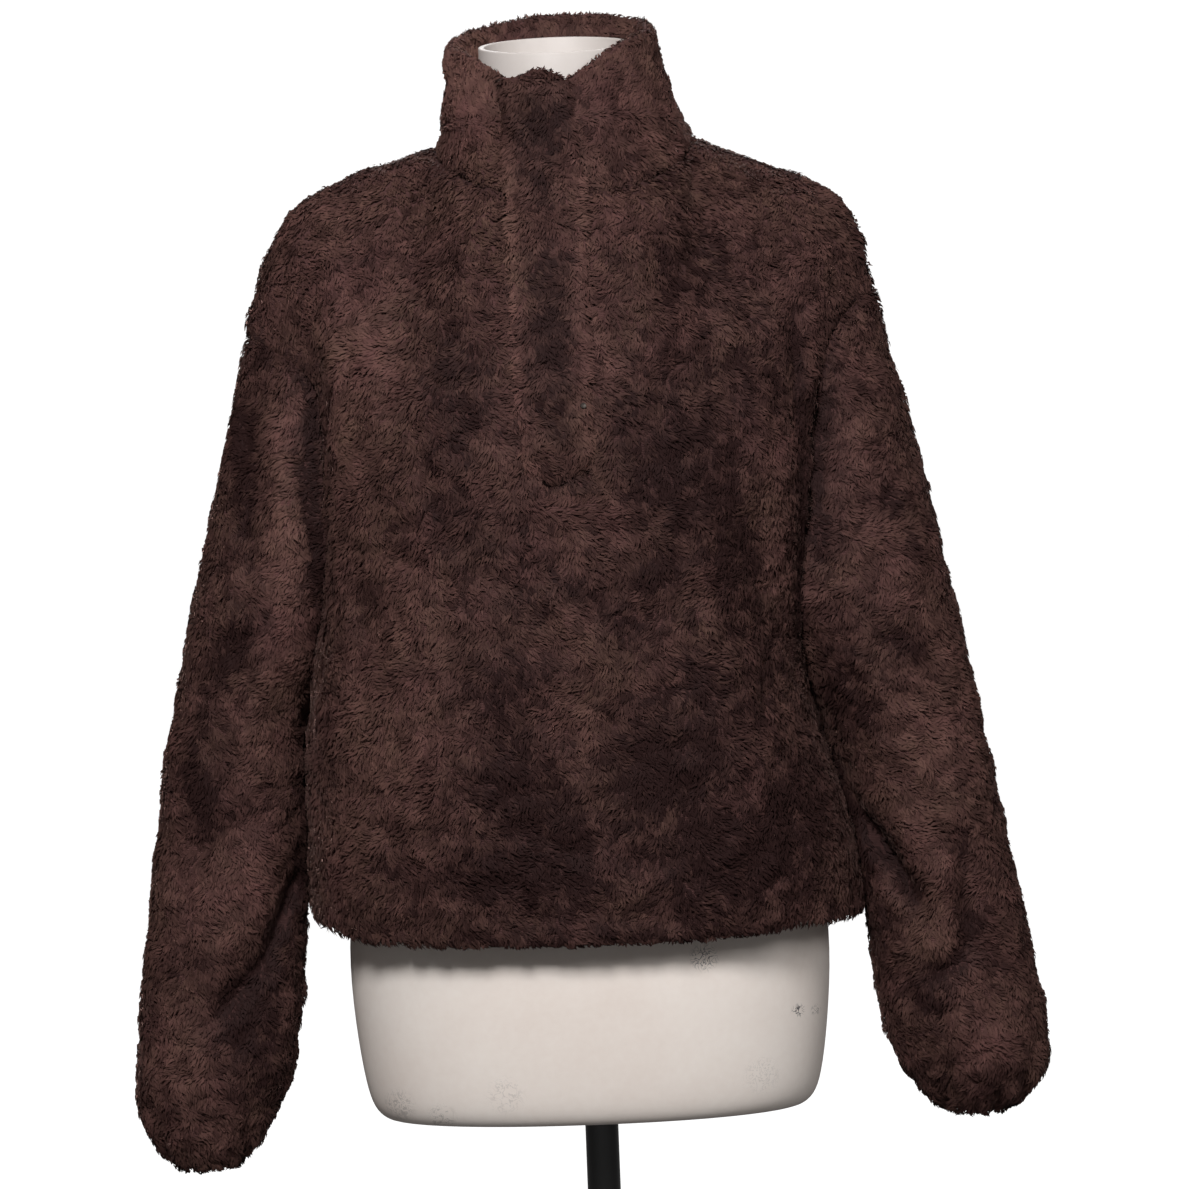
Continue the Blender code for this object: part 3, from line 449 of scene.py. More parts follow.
def cloth_shell(node):
    """A smooth, thinner copy of a solid: its outer skin drawn in, its creases pressed in."""
    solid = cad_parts[node]
    shell = bpy.data.objects.new(node + "_cloth", solid.data.copy())
    shell.matrix_world = solid.matrix_world.copy()
    bpy.context.collection.objects.link(shell)
    deselect()
    shell.select_set(True)
    bpy.context.view_layer.objects.active = shell
    bpy.ops.object.mode_set(mode="EDIT")
    bpy.ops.mesh.select_all(action="SELECT")
    bpy.ops.mesh.remove_doubles(threshold=0.00002)
    bpy.ops.mesh.tris_convert_to_quads(face_threshold=math.radians(50), shape_threshold=math.radians(60))
    bpy.ops.object.mode_set(mode="OBJECT")
    mesh = shell.data

    work = bmesh.new()
    work.from_mesh(mesh)
    work.normal_update()
    points = np.array([v.co[:] for v in work.verts])
    away = outward(points, SPINES[node])
    moves = []
    for vert in work.verts:
        direction = Vector(away[vert.index])
        score = sum(face.normal.dot(direction) * face.calc_area() for face in vert.link_faces)
        score /= sum(face.calc_area() for face in vert.link_faces)
        outer = [face for face in vert.link_faces if face.normal.dot(direction) > FACE_LOOK]
        if score > SKIN_LOOK and outer:
            normal = sum((face.normal * face.calc_area() for face in outer), Vector()).normalized()
            hold = pressed(node, vert.co, normal) if node not in ("collar", "placket") else 0.0
            sewn = near_seam(node, vert.co) if hold == 0.0 else 0.0
            moves.append(normal * (CONTACT_SWELL * hold - PILE_DEPTH * (1.0 - SEAM_KEPT * sewn)))
        elif score > -SKIN_LOOK:
            sewn = near_seam(node, vert.co)
            moves.append(-vert.normal * PILE_DEPTH * (CUT_END - CUT_END_SEWN * sewn))
        else:
            moves.append(Vector())
    for vert, move in zip(work.verts, moves):
        vert.co += move
    crease = work.edges.layers.float.new("crease_edge")
    for edge in work.edges:
        if len(edge.link_faces) == 2 and edge.calc_face_angle() > SHARP_EDGE:
            edge[crease] = SHARP_HOLD
    work.to_mesh(mesh)
    work.free()

    subdivide(shell)
    points = points_of(mesh)
    normals = points_of(mesh, "normal")
    away = outward(points, SPINES[node])
    sign = np.where((normals * away).sum(axis=1) >= 0, 1.0, -1.0)
    facing_view = np.clip(1.6 * np.abs(normals[:, 1]) - 0.3, 0, 1)
    lift = crease_lift(points, CREASES[node]) * facing_view
    lift += LUMP_DEPTH * np.array([noise.noise(Vector(point) / LUMP_SIZE) for point in points])
    if node.startswith("sleeve"):
        low = points[:, 2].min()
        share = np.clip(1 - (points[:, 2] - low) / GATHER_REACH, 0, 1)
        angle = np.arctan2(away[:, 1], away[:, 0])
        wobble = np.array([noise.noise(Vector(p) * 40) for p in points])
        lift += GATHER_DEPTH * np.sin(angle * GATHER_COUNT + GATHER_BEND * wobble) * share
    points += normals * (sign * lift)[:, None]
    for row in LIFTS.get(node, []):
        x, wide, foot, full, rise, back = (value * MILLIMETRE for value in row)
        share = np.clip((points[:, 2] - DATUM - foot) / (full - foot), 0, 1)
        share *= np.exp(-((points[:, 0] - x) / wide) ** 2)
        points[:, 2] += rise * share
        points[:, 1] += back * share
    mesh.vertices.foreach_set("co", points.astype(np.float32).ravel())
    mesh.update()
    mesh.shade_smooth()
    mesh.materials.clear()
    mesh.materials.append(backing)
    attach(shell, "root")
    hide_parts(node)
    print(shell.name, "faces", len(mesh.polygons), "area", round(sum(p.area for p in mesh.polygons), 3))
    return shell


# %% Make the shells
shells = {}
for node in ("front", "back", "sleeve_left", "sleeve_right", "collar", "placket"):
    shells[node] = cloth_shell(node)

# %% [markdown]
# ## How the pile lies
#
# The fibres of a teddy fleece stick together in small locks, and the locks lie over in whorls,
# because every fold, hand and hanger has stroked them another way. One smooth field of angles
# gives the whorls, and a finer one ruffles them. Where the pile was stroked towards the viewer it
# looks lighter, and where it was stroked away it looks darker. Some strokes are painted shade and
# light instead: painted shade in the grooves at the armholes and on a sleeve's slope turned from
# the light, painted light on lit slopes and on the placket's raised edges. The larger of those
# strokes are listed here: a middle, a reach, a tone, and how far the pile turns from hanging
# straight down, in degrees towards the wearer's left.

# %% Strokes in the pile
STROKE_COLUMNS = ("x", "z", "wide", "tall", "tone", "turn")
# in some rows the tone is painted shade or light: armhole grooves and a shaded sleeve slope darker, lit
# slopes and placket edges lighter
STROKES = {
    "front": [
        (-149, 604, 34, 28, 0.31, -75), (-135, 558, 22, 28, 0.24, -65), (-168, 525, 14, 50, 0.19, -70),
        (-121, 413, 22, 34, 0.22, -45), (-148, 354, 32, 32, 0.20, -45), (-140, 293, 34, 34, 0.30, -50),
        (-172, 236, 30, 28, 0.24, -40), (-95, 250, 24, 14, 0.10, -60), (-96, 664, 38, 24, -0.15, 0),
        (-90, 562, 27, 50, -0.36, 20), (-90, 470, 24, 46, -0.30, 10), (-40, 428, 28, 38, -0.30, 0),
        (-68, 350, 30, 34, -0.34, 0), (-56, 276, 34, 34, -0.47, 15), (-68, 205, 46, 20, -0.50, 30),
        (-13, 222, 14, 34, -0.31, 0), (60, 288, 36, 34, -0.40, 20), (102, 214, 48, 30, -0.47, 30),
        (158, 242, 28, 34, -0.42, 30), (92, 352, 36, 30, -0.26, 10), (68, 492, 34, 30, -0.34, 0),
        (106, 444, 30, 34, -0.30, 0), (55, 424, 24, 22, -0.26, 0), (130, 563, 20, 30, -0.17, 10),
        (94, 655, 42, 22, -0.30, 0), (36, 524, 12, 26, -0.15, 0), (30, 380, 18, 24, -0.19, 0),
        (20, 572, 14, 26, 0.22, 30), (8, 520, 12, 20, 0.19, 30), (5, 698, 30, 12, 0.16, 0),
        (88, 611, 30, 13, 0.20, 50), (90, 550, 26, 13, 0.20, 40), (148, 505, 13, 32, 0.17, 20),
        (144, 430, 13, 30, 0.14, 10), (0, 320, 17, 30, 0.24, 0), (-6, 388, 14, 20, 0.10, 0),
        (45, 350, 16, 12, 0.11, 10), (-170, 700, 50, 16, 0.10, -50), (60, 240, 10, 20, 0.18, 20),
        (165, 460, 5, 140, -0.24, 0), (0, 160, 200, 12, -0.22, 20), (-100, 190, 24, 12, 0.12, 0),
        (50, 270, 120, 80, -0.20, 0), (90, 540, 80, 110, -0.29, 0), (18, 620, 7, 110, 0.05, -70),
        (-52, 620, 7, 110, 0.0, 70), (-15, 476, 22, 7, 0.10, 170), (-174, 520, 6, 80, 0.14, 0),
        (-50, 215, 60, 35, -0.20, 0),
    ],
    "back": [
        (-90, 560, 60, 50, 0.28, 40), (80, 480, 50, 60, -0.30, -20), (-50, 350, 55, 60, -0.30, 0),
        (60, 290, 60, 50, 0.25, 30), (0, 640, 50, 40, -0.20, 10), (130, 600, 40, 40, 0.20, -40),
        (-140, 420, 35, 50, -0.25, 20), (-120, 250, 45, 40, 0.20, 30), (10, 200, 60, 30, -0.30, -20),
        (140, 380, 30, 60, 0.15, -30),
    ],
    "sleeve_right": [
        (-193, 515, 7, 75, -0.40, -80), (-193, 430, 7, 44, -0.36, -80), (-224, 607, 10, 48, -0.36, -60),
        (-244, 518, 12, 50, -0.42, -80), (-215, 556, 9, 40, 0.22, -80), (-220, 437, 14, 50, 0.30, -80),
        (-216, 346, 16, 32, 0.28, -60), (-257, 378, 15, 26, -0.44, -60), (-289, 276, 19, 34, -0.52, -60),
        (-240, 297, 16, 24, 0.22, -60), (-219, 206, 9, 32, -0.45, 0), (-302, 200, 25, 30, 0.30, 0),
        (-256, 215, 22, 22, 0.14, 0), (-241, 157, 12, 24, -0.38, -30), (-266, 126, 18, 28, -0.40, -30),
        (-259, 84, 22, 40, -0.44, 0), (-240, 30, 20, 24, -0.30, 0), (-318, 100, 16, 40, 0.26, -20),
        (-290, 10, 24, 20, 0.10, 0),
    ],
    "sleeve_left": [
        (178, 520, 7, 85, -0.28, 80), (212, 585, 16, 26, 0.14, 60), (208, 510, 15, 48, 0.26, 60),
        (230, 420, 20, 38, 0.28, 60), (250, 300, 22, 38, 0.30, 60), (262, 236, 18, 24, 0.20, 40),
        (188, 325, 12, 32, -0.32, 0), (212, 320, 13, 24, -0.20, 0), (212, 220, 10, 28, -0.48, 0),
        (240, 184, 13, 20, -0.44, 0), (252, 94, 16, 28, -0.38, 0), (275, 148, 12, 20, -0.24, 0),
        (292, 78, 20, 28, 0.18, 20), (280, 20, 26, 12, -0.28, 0), (210, 140, 16, 36, -0.26, 0),
        (264, 365, 14, 40, 0.12, 60), (215, 480, 60, 180, -0.15, 0),
    ],
    "collar": [
        (0, 770, 140, 60, 0.02, 0), (-74, 780, 30, 50, 0.60, -20), (-62, 742, 14, 12, -0.14, 0),
        (64, 785, 22, 36, 0.06, 30), (76, 735, 18, 18, 0.16, 30), (30, 765, 16, 22, -0.10, 0),
    ],
    "placket": [
        (-14, 757, 26, 26, -0.40, 0), (-40, 610, 6, 130, 0.48, -60), (8, 620, 6, 130, 0.30, 70),
        (-16, 600, 16, 110, -0.30, 0), (-30, 505, 16, 20, 0.16, 0), (-10, 685, 22, 20, 0.12, 10),
        (-14, 600, 30, 140, -0.10, 0),
    ],
}


def brushed_and_shaded(points, strokes):
    """How much lighter each point is by the strokes near it, by the nap and by painted shade
    and light, and how far the pile there is turned.
    """
    flat = front_view(points)
    tone, turn, held = np.zeros((3, len(points)))
    for stroke in strokes:
        row = dict(zip(STROKE_COLUMNS, stroke))
        reach = ((flat[:, 0] - row["x"]) / row["wide"]) ** 2 + ((flat[:, 1] - row["z"]) / row["tall"]) ** 2
        weight = np.exp(-reach)
        tone += row["tone"] * weight
        turn += math.radians(row["turn"]) * weight
        held += weight
    return tone, turn / np.maximum(held, 1.0)


def field(points, size, seed):
    """A smooth value between about -1 and 1 at each point."""
    shift = Vector((seed * 3.7, seed * 1.3, seed * 2.1))
    return np.array([noise.noise(Vector(p) / size + shift) for p in points]) * 1.6


# %% Where the locks grow
def triangles_of(mesh):
    """Corner indices of a mesh's triangles."""
    mesh.calc_loop_triangles()
    corners = np.zeros(len(mesh.loop_triangles) * 3, dtype=np.int32)
    mesh.loop_triangles.foreach_get("vertices", corners)
    return corners.reshape(-1, 3)


def roots(shell, spine, count, rng, all_above, least):
    """Evenly scattered points on a shell's outer skin, with their normals."""
    mesh = shell.data
    points = points_of(mesh)
    normals = points_of(mesh, "normal")
    corners = triangles_of(mesh)
    a, b, c = (points[corners[:, i]] for i in range(3))
    cross = np.cross(b - a, c - a)
    area = np.linalg.norm(cross, axis=1) / 2
    face_normals = cross / np.maximum(2 * area[:, None], 1e-12)
    middle = (a + b + c) / 3
    grows = (face_normals * outward(middle, spine)).sum(axis=1) > least
    if all_above is not None:
        grows |= middle[:, 2] > all_above + DATUM
    weight = np.where(grows, area, 0)
    wanted = weight / weight.sum() * count
    number = np.floor(wanted + rng.random(len(wanted))).astype(int)
    chosen = np.repeat(np.arange(len(corners)), number)
    u, v = rng.random(len(chosen)), rng.random(len(chosen))
    flip = u + v > 1
    u[flip], v[flip] = 1 - u[flip], 1 - v[flip]
    blend = np.stack([1 - u - v, u, v], axis=1)[:, :, None]
    place = (points[corners[chosen]] * blend).sum(axis=1)
    return place, unit((normals[corners[chosen]] * blend).sum(axis=1))


# %% [markdown]
# ## One lock, many times
#
# A lock is a narrow leaf of two triangles, bent across its middle, so that hundreds of thousands
# of them stay light enough to use. It leaves the backing steeply, bends over, and its tip is drawn
# towards its neighbours' tips, which makes the small pointed tufts. Near a seam and at a turned
# edge the pile is short. All of a piece's locks are worked out together as arrays and joined in
# one mesh. Each lock also has its own small cell in a UV map.

# %% Grow the pile of one piece
LOCK_LENGTH = 0.0086
LOCK_WIDTH = 0.00180
LOCK_POINTS = 4              # root, left, right and tip
STEEPNESS = 31               # degrees between a lock and the cloth at its root,
TIP_STEEPNESS = 0.15         # and this share of them at its tip
WHORL_SIZE = 0.055           # the whorls' field of angles,
RUFFLE_SIZE = 0.015          # and the finer one that ruffles them
ROOT_DEPTH = 0.0006          # roots are sunk this far into the backing
HANG = (0.15, -0.02, -1.0)   # the pile lies this way where nothing has turned it
TUFT_SHARE = 1 / 15          # one lock in fifteen is the middle of a tuft
TUFT_PULLS = ((1, 0.12), (2, 0.40))
PULL_LIMIT = 0.004
TUFT_TONE = 0.40             # how far the tones of tufts differ,
LOCK_TONE = 0.20             # of locks in a tuft,
PATCH_TONE = 0.10            # of patches a few centimetres wide,
SPOT_TONE = 0.16             # of spots about one centimetre wide,
SEAM_SHADE = 0.12             # and how much darker the pile is at a seam, painted shade where pieces meet
MIDDLE_TONE = 0.42           # between the darkest tone, 0, and the lightest, 1
CREASE_SHADE = 62.0           # painted shade and light: a trough is this much darker, and a ridge lighter, for each metre of its depth
OWN_NORMAL = 0.4             # a lock's own normal counts this much,
CLOTH_NORMAL = 0.9           # its cloth's this much,
ROUNDING = 0.25              # and the way across it this much, at its left and right
STAND_REACH = 0.010          # the pile turns upright over this distance at a top edge
EDGE_REACH = 0.009           # the pile is short this near to a hem or cuff
BAKE_MAP = "OFBake"


def tangent_frame(normals, base):
    """Down along the cloth and sideways along it, for each normal."""
    down = unit(base - normals * (normals * base).sum(axis=1, keepdims=True))
    return down, np.cross(normals, down)


def tone_and_shade_shell(node):
    """The backing is as dark or light as the pile that grows on it, with painted shade in
    its troughs and darkest at a seam, and painted light on its ridges.
    """
    mesh = shells[node].data
    points = points_of(mesh)
    tone = MIDDLE_TONE + brushed_and_shaded(points, STROKES[node])[0] + CREASE_SHADE * crease_lift(points, CREASES[node])
    # painted shade: the backing goes dark where another piece is sewn on or presses close
    tone -= [near_seam(node, Vector(point)) for point in points]
    store(mesh, "tone", np.clip(tone, 0, 1))


def grow_pile(node, count, seed, all_above, least):
    """All locks of one sewn piece, joined in one mesh."""
    rng = np.random.default_rng(seed)
    place, normal = roots(shells[node], SPINES[node], count, rng, all_above, least)
    total = len(place)
    stroked_and_shaded, turned = brushed_and_shaded(place, STROKES[node])
    seam = np.array([near_seam(node, Vector(point)) for point in place])
    low = place[:, 2].min()
    edge = np.clip((place[:, 2] - low) / EDGE_REACH, 0, 1) if node != "placket" else np.ones(total)
    down, side = tangent_frame(normal, np.tile(HANG, (total, 1)))
    angle = turned + field(place, WHORL_SIZE, seed) + 0.75 * field(place, RUFFLE_SIZE, seed + 5)
    angle += rng.normal(0, 0.28, total)
    rim = np.zeros(total)
    if all_above is not None:
        rim = np.clip((place[:, 2] - DATUM - all_above) / STAND_REACH, 0, 1)
        angle += math.pi * rim * (normal[:, 2] < 0.5)
    lit = normal + rim[:, None] * np.array([0.0, -0.7, 1.0])
    curl = 0.7 * field(place, 0.008, seed + 9) + rng.normal(0, 0.25, total)
    long = LOCK_LENGTH * (0.75 + 0.45 * rng.random(total)) * (1 + 0.15 * field(place, 0.020, seed + 2))
    long *= (1 - 0.25 * seam) * (0.55 + 0.45 * edge) * (1 - 0.25 * rim)
    steep = np.radians(STEEPNESS + 7 * rng.normal(0, 1, total) + 10 * field(place, 0.016, seed + 3))
    stops = [place - normal * ROOT_DEPTH]
    for share, turn in ((1.0, 0.0), (TIP_STEEPNESS, 1.0)):
        lean = angle + curl * turn
        rise = steep * share
        flat = down * np.cos(lean)[:, None] + side * np.sin(lean)[:, None]
        step = flat * np.cos(rise)[:, None] + normal * np.sin(rise)[:, None]
        stops.append(stops[-1] + step * (long / 2)[:, None])

    centres = np.flatnonzero(rng.random(total) < TUFT_SHARE)
    tree = kdtree.KDTree(len(centres))
    for index, centre in enumerate(centres):
        tree.insert(place[centre], index)
    tree.balance()
    nearest = np.array([centres[tree.find(p)[1]] for p in place])
    for stop, pull in TUFT_PULLS:
        towards = stops[stop][nearest] - stops[stop]
        far = np.linalg.norm(towards, axis=1, keepdims=True)
        towards *= np.minimum(1.0, PULL_LIMIT / np.maximum(far, 1e-9))
        stops[stop] = stops[stop] + towards * pull

    roll = rng.normal(0, 0.5, total)
    across = unit(np.cross(stops[2] - stops[0], normal))
    across = across * np.cos(roll)[:, None] + normal * np.sin(roll)[:, None]
    half = across * (LOCK_WIDTH / 2 * (0.7 + 0.6 * rng.random(total)))[:, None]
    points = np.stack([stops[0], stops[1] - half, stops[1] + half, stops[2]], axis=1)

    mesh = bpy.data.meshes.new(node + "_pile")
    lock = np.arange(total)[:, None] * LOCK_POINTS
    faces = np.concatenate([lock + [0, 2, 1], lock + [1, 2, 3]])
    mesh.from_pydata(points.reshape(-1, 3).tolist(), [], faces.tolist())

    shared = rng.random(total)[nearest]
    value = MIDDLE_TONE + TUFT_TONE * (shared - 0.5) + LOCK_TONE * (rng.random(total) - 0.5) + stroked_and_shaded
    value += PATCH_TONE * field(place, 0.034, seed + 11) + SPOT_TONE * field(place, 0.013, seed + 12)
    # painted shade in troughs and at seams, painted light on ridges
    value += CREASE_SHADE * crease_lift(place, CREASES[node]) - SEAM_SHADE * seam
    value = np.clip(value, 0, 1)
    store(mesh, "tone", np.repeat(value, LOCK_POINTS))
    lay_out(mesh, total)
    soft_normals(mesh, points, lit)

    item = bpy.data.objects.new(node + "_pile", mesh)
    bpy.context.collection.objects.link(item)
    mesh.materials.append(pile)
    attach(item, "root")
    print(item.name, total, "locks,", total * 2, "triangles")
    return item


def store(mesh, name, values):
    """A value on every point of a mesh."""
    attribute = mesh.attributes.new(name, "FLOAT", "POINT")
    attribute.data.foreach_set("value", np.asarray(values, dtype=np.float32))


def lay_out(mesh, total):
    """A UV map with one small cell for each lock."""
    across = math.ceil(math.sqrt(total))
    cell = 1 / across
    shape = np.array([[0.5, 0.05], [0.1, 0.5], [0.9, 0.5], [0.5, 0.95]])
    lock = np.arange(total)
    corner = np.stack([lock % across, lock // across], axis=1)
    spots = ((corner[:, None, :] + shape[None, :, :]) * cell).reshape(-1, 2)
    layer = mesh.uv_layers.new(name=BAKE_MAP)
    used = np.zeros(len(mesh.loops), dtype=np.int32)
    mesh.loops.foreach_get("vertex_index", used)
    layer.uv.foreach_set("vector", spots[used].astype(np.float32).ravel())


def soft_normals(mesh, points, normal):
    """Normals between each leaf's own and its cloth's, and rounded across it, as on a soft lock."""
    mesh.shade_smooth()
    own = points_of(mesh, "normal").reshape(-1, LOCK_POINTS, 3)
    across = unit(points[:, 2] - points[:, 1])
    edge = np.array([0, -1, 1, 0])[None, :, None] * across[:, None, :]
    mixed = unit(own * OWN_NORMAL + normal[:, None, :] * CLOTH_NORMAL + edge * ROUNDING)
    mesh.normals_split_custom_set_from_vertices(mixed.reshape(-1, 3).tolist())


# %% Grow all of it
PILES = [  # piece, locks, seed, height above which all faces grow pile, how far out others look
    ("front", 98000, 11, None, 0.10),
    ("back", 94000, 12, None, 0.10),
    ("sleeve_left", 70000, 13, None, 0.10),
    ("sleeve_right", 70000, 14, None, 0.10),
    ("collar", 34000, 15, 0.752, 0.10),
    ("placket", 8600, 16, 0.781, -0.6),
]
for node, *growth in PILES:
    grow_pile(node, *growth)
for node in shells:
    tone_and_shade_shell(node)

# %% [markdown]
# ## The dress form
#
# The form's body is one smooth skin over a hard core. It is drawn up from its flat underside ring
# by ring: a circle is added, extruded upward again and again, and each new ring is set to its
# width and depth. Subdivision then rounds it.

# %% Loft the form's body
FORM_MIDDLE_X = -0.004
FORM_RINGS = [  # height, half width, front, back, in millimetres
    (14, 152, 92, 88), (14.5, 157, 96, 92), (20, 165, 102, 98), (34, 171, 107, 103), (72, 177, 113, 110),
    (130, 182, 118, 116), (185, 178, 116, 114), (240, 158, 105, 100), (330, 129, 93, 84), (400, 135, 104, 90),
    (460, 143, 118, 96), (510, 147, 126, 99), (560, 148, 114, 99), (610, 150, 90, 95), (653, 153, 70, 86),
    (683, 147, 55.5, 72.5), (700, 130, 46.5, 62.5), (712, 107, 45.5, 58.5), (722, 86, 48.5, 59),
    (731, 70, 51, 60.5), (742, 57.5, 53.5, 61.5),
]
FORM_SIDES = 48
FORM_SQUARED = 2 / 2.2       # below 1, an oval is fuller at its corners
SQUARED_BELOW = 700          # higher up, where the neck starts, the rings are plain ovals


def set_ring(verts, height, half, front, back):
    """Puts one ring's points on a slightly squared oval."""
    power = FORM_SQUARED if height < SQUARED_BELOW else 1.0
    for step, vert in enumerate(verts):
        angle = 2 * math.pi * step / FORM_SIDES
        across = math.copysign(abs(math.sin(angle)) ** power, math.sin(angle))
        along = math.copysign(abs(math.cos(angle)) ** power, math.cos(angle))
        x = FORM_MIDDLE_X + half * MILLIMETRE * across
        y = ((back - front) / 2 - (back + front) / 2 * along) * MILLIMETRE
        vert.co = (x, y, DATUM + height * MILLIMETRE)


deselect()
bpy.ops.mesh.primitive_circle_add(vertices=FORM_SIDES, radius=0.1, fill_type="NGON")
form_body = bpy.context.object
form_body.name = form_body.data.name = "form_body"
bpy.ops.object.mode_set(mode="EDIT")
work = bmesh.from_edit_mesh(form_body.data)
work.verts.ensure_lookup_table()
set_ring(list(work.verts), *FORM_RINGS[0])
bpy.ops.mesh.select_all(action="SELECT")
for ring in FORM_RINGS[1:]:
    bpy.ops.mesh.extrude_region_move(TRANSFORM_OT_translate={"value": (0, 0, 0.01)})
    work = bmesh.from_edit_mesh(form_body.data)
    cap = next(face for face in work.faces if face.select)
    set_ring([loop.vert for loop in cap.loops], *ring)
    bmesh.update_edit_mesh(form_body.data)
bpy.ops.mesh.select_all(action="SELECT")
bpy.ops.mesh.normals_make_consistent(inside=False)
bpy.ops.object.mode_set(mode="OBJECT")
subdivide(form_body)
form_body.data.shade_smooth()
print("form_body faces", len(form_body.data.polygons))

# %% [markdown]
# ## The form's neck
#
# The neck is an open tube whose rim slants up to the back. A cylinder without ends is cut off
# along a slanted plane, gets its wall from Solidify and a small bevel on its edges.

# %% Cut the neck
NECK_RADIUS = 0.0575
NECK_WALL = 0.0045
NECK_Y = 0.004
NECK_FOOT = DATUM + 0.7423
NECK_RIM = DATUM + 0.8135    # the rim's height in the middle
NECK_LENGTH = 0.12           # before it is cut off


def round_edges(item, width, segments):
    """A bevel on the sharp edges, and smooth shading up to them."""
    rounding = item.modifiers.new("rounding", "BEVEL")
    rounding.width = width
    rounding.segments = segments
    rounding.limit_method = "ANGLE"
    bpy.ops.object.modifier_apply(modifier=rounding.name)
    item.data.shade_smooth()
    bpy.ops.object.shade_smooth_by_angle(angle=math.radians(35))


deselect()
bpy.ops.mesh.primitive_cylinder_add(vertices=96, radius=NECK_RADIUS, depth=NECK_LENGTH,
                                    end_fill_type="NOTHING",
                                    location=(FORM_MIDDLE_X, NECK_Y, NECK_FOOT + NECK_LENGTH / 2))
form_neck = bpy.context.object
form_neck.name = form_neck.data.name = "form_neck_tube"
bpy.ops.object.transform_apply(location=True, rotation=True, scale=True)
bpy.ops.object.mode_set(mode="EDIT")
bpy.ops.mesh.select_all(action="SELECT")
slope = Vector((0.0, -0.14, 1.0)).normalized()
bpy.ops.mesh.bisect(plane_co=(FORM_MIDDLE_X, NECK_Y, NECK_RIM), plane_no=slope, clear_outer=True,
                    clear_inner=False, use_fill=False)
bpy.ops.object.mode_set(mode="OBJECT")
wall = form_neck.modifiers.new("wall", "SOLIDIFY")
wall.thickness = NECK_WALL
wall.offset = -1.0
bpy.ops.object.modifier_apply(modifier=wall.name)
round_edges(form_neck, 0.0012, 3)
print("form_neck_tube faces", len(form_neck.data.polygons))

# %% [markdown]
# ## The form's finish
#
# The form is matt and pale, a warm grey cream. It has been used: there are a few short scribbled
# marks below the hem at the right of the picture, fainter ones low down, and a very slight
# unevenness in the skin.

# %% Form material
form_skin, shader, group, mix = blotched(
    "form_skin", (0.795, 0.700, 0.638), (0.890, 0.818, 0.760), 0.140, 0.006, 0.22, 0.62)
tree = form_skin.node_tree
where = add_node(tree, "TexCoord", {}).outputs["Object"]
SCUFF_Y = -0.105             # the front of the form, where the marks are
SCUFF_FLAT = (1.0, 0.05, 1.0)
SCUFF_CORE = 0.3             # a mark is fully dark up to this share of its reach
SCUFFS = [  # x and height of a mark's middle in millimetres, its reach, its darkness
    (80, 137, 13, 0.9), (149, 90, 7, 1.0), (163, 88, 6, 1.0), (-150, 30, 16, 0.35), (-118, 22, 14, 0.35),
    (-70, 40, 18, 0.20), (120, 45, 18, 0.18),
]
dirt = None
for x, z, reach, dark in SCUFFS:
    middle = (x * MILLIMETRE, SCUFF_Y, DATUM + z * MILLIMETRE)
    shift = add_node(tree, "VectorMath", {0: where, 1: middle}, operation="SUBTRACT")
    flat = add_node(tree, "VectorMath", {0: shift.outputs["Vector"], 1: SCUFF_FLAT}, operation="MULTIPLY")
    far = add_node(tree, "VectorMath", {0: flat.outputs["Vector"]}, operation="LENGTH")
    near = add_node(tree, "MapRange", {
        "Value": far.outputs["Value"], "From Min": reach * MILLIMETRE,
        "From Max": reach * SCUFF_CORE * MILLIMETRE, "To Max": dark}, interpolation_type="SMOOTHSTEP")
    if dirt is None:
        dirt = near.outputs["Result"]
    else:
        dirt = add_node(tree, "Math", {0: dirt, 1: near.outputs["Result"]}, operation="MAXIMUM").outputs[0]
lines = add_node(tree, "TexNoise", {"Vector": where, "Scale": 170.0, "Detail": 2.0, "Distortion": 1.4})
ridge = add_node(tree, "Math", {0: lines.outputs["Fac"], 1: 0.5, 2: 0.034}, operation="COMPARE")
marks = add_node(tree, "Math", {0: ridge.outputs[0], 1: dirt}, operation="MULTIPLY")
marked = add_node(tree, "Mix", {
    "Factor": marks.outputs[0], "A": mix.outputs["Result"], "B": (0.10, 0.092, 0.095, 1.0)}, data_type="RGBA")
set_inputs(shader, {"Base Color": marked.outputs["Result"]})
add_bump(shader, group.outputs["Blotch"], 0.0008, 0.12)
# painted shade: the neck gets a darker copy of the form's skin, to hold back the stronger light that falls on
# it
neck_skin_painted_shade = blotched("neck_skin_painted_shade", (0.565, 0.512, 0.480), (0.610, 0.565, 0.540), 0.140, 0.006, 0.22, 0.50)[0]
for item, node, skin in ((form_body, "form_torso", form_skin), (form_neck, "form_neck", neck_skin_painted_shade)):
    item.data.materials.append(skin)
    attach(item, "root")
    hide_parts(node)
print("material:", form_skin.name, "with", len(SCUFFS), "scuffs")

# %% [markdown]
# ## The stand
#
# A straight black gloss pole carries the form on a small flange, and ends in a heavy round base
# with a rounded edge. All three are turned shapes.

# %% Turn the pole and the base
def turned_cylinder(name, radius, low, high, vertices=96):
    """A cylinder between two heights, placed and with its transform applied."""
    deselect()
    bpy.ops.mesh.primitive_cylinder_add(vertices=vertices, radius=radius, depth=high - low,
                                        location=(0.0, 0.0, (low + high) / 2))
    made = bpy.context.object
    made.name = made.data.name = name
    bpy.ops.object.transform_apply(location=True, rotation=True, scale=True)
    return made


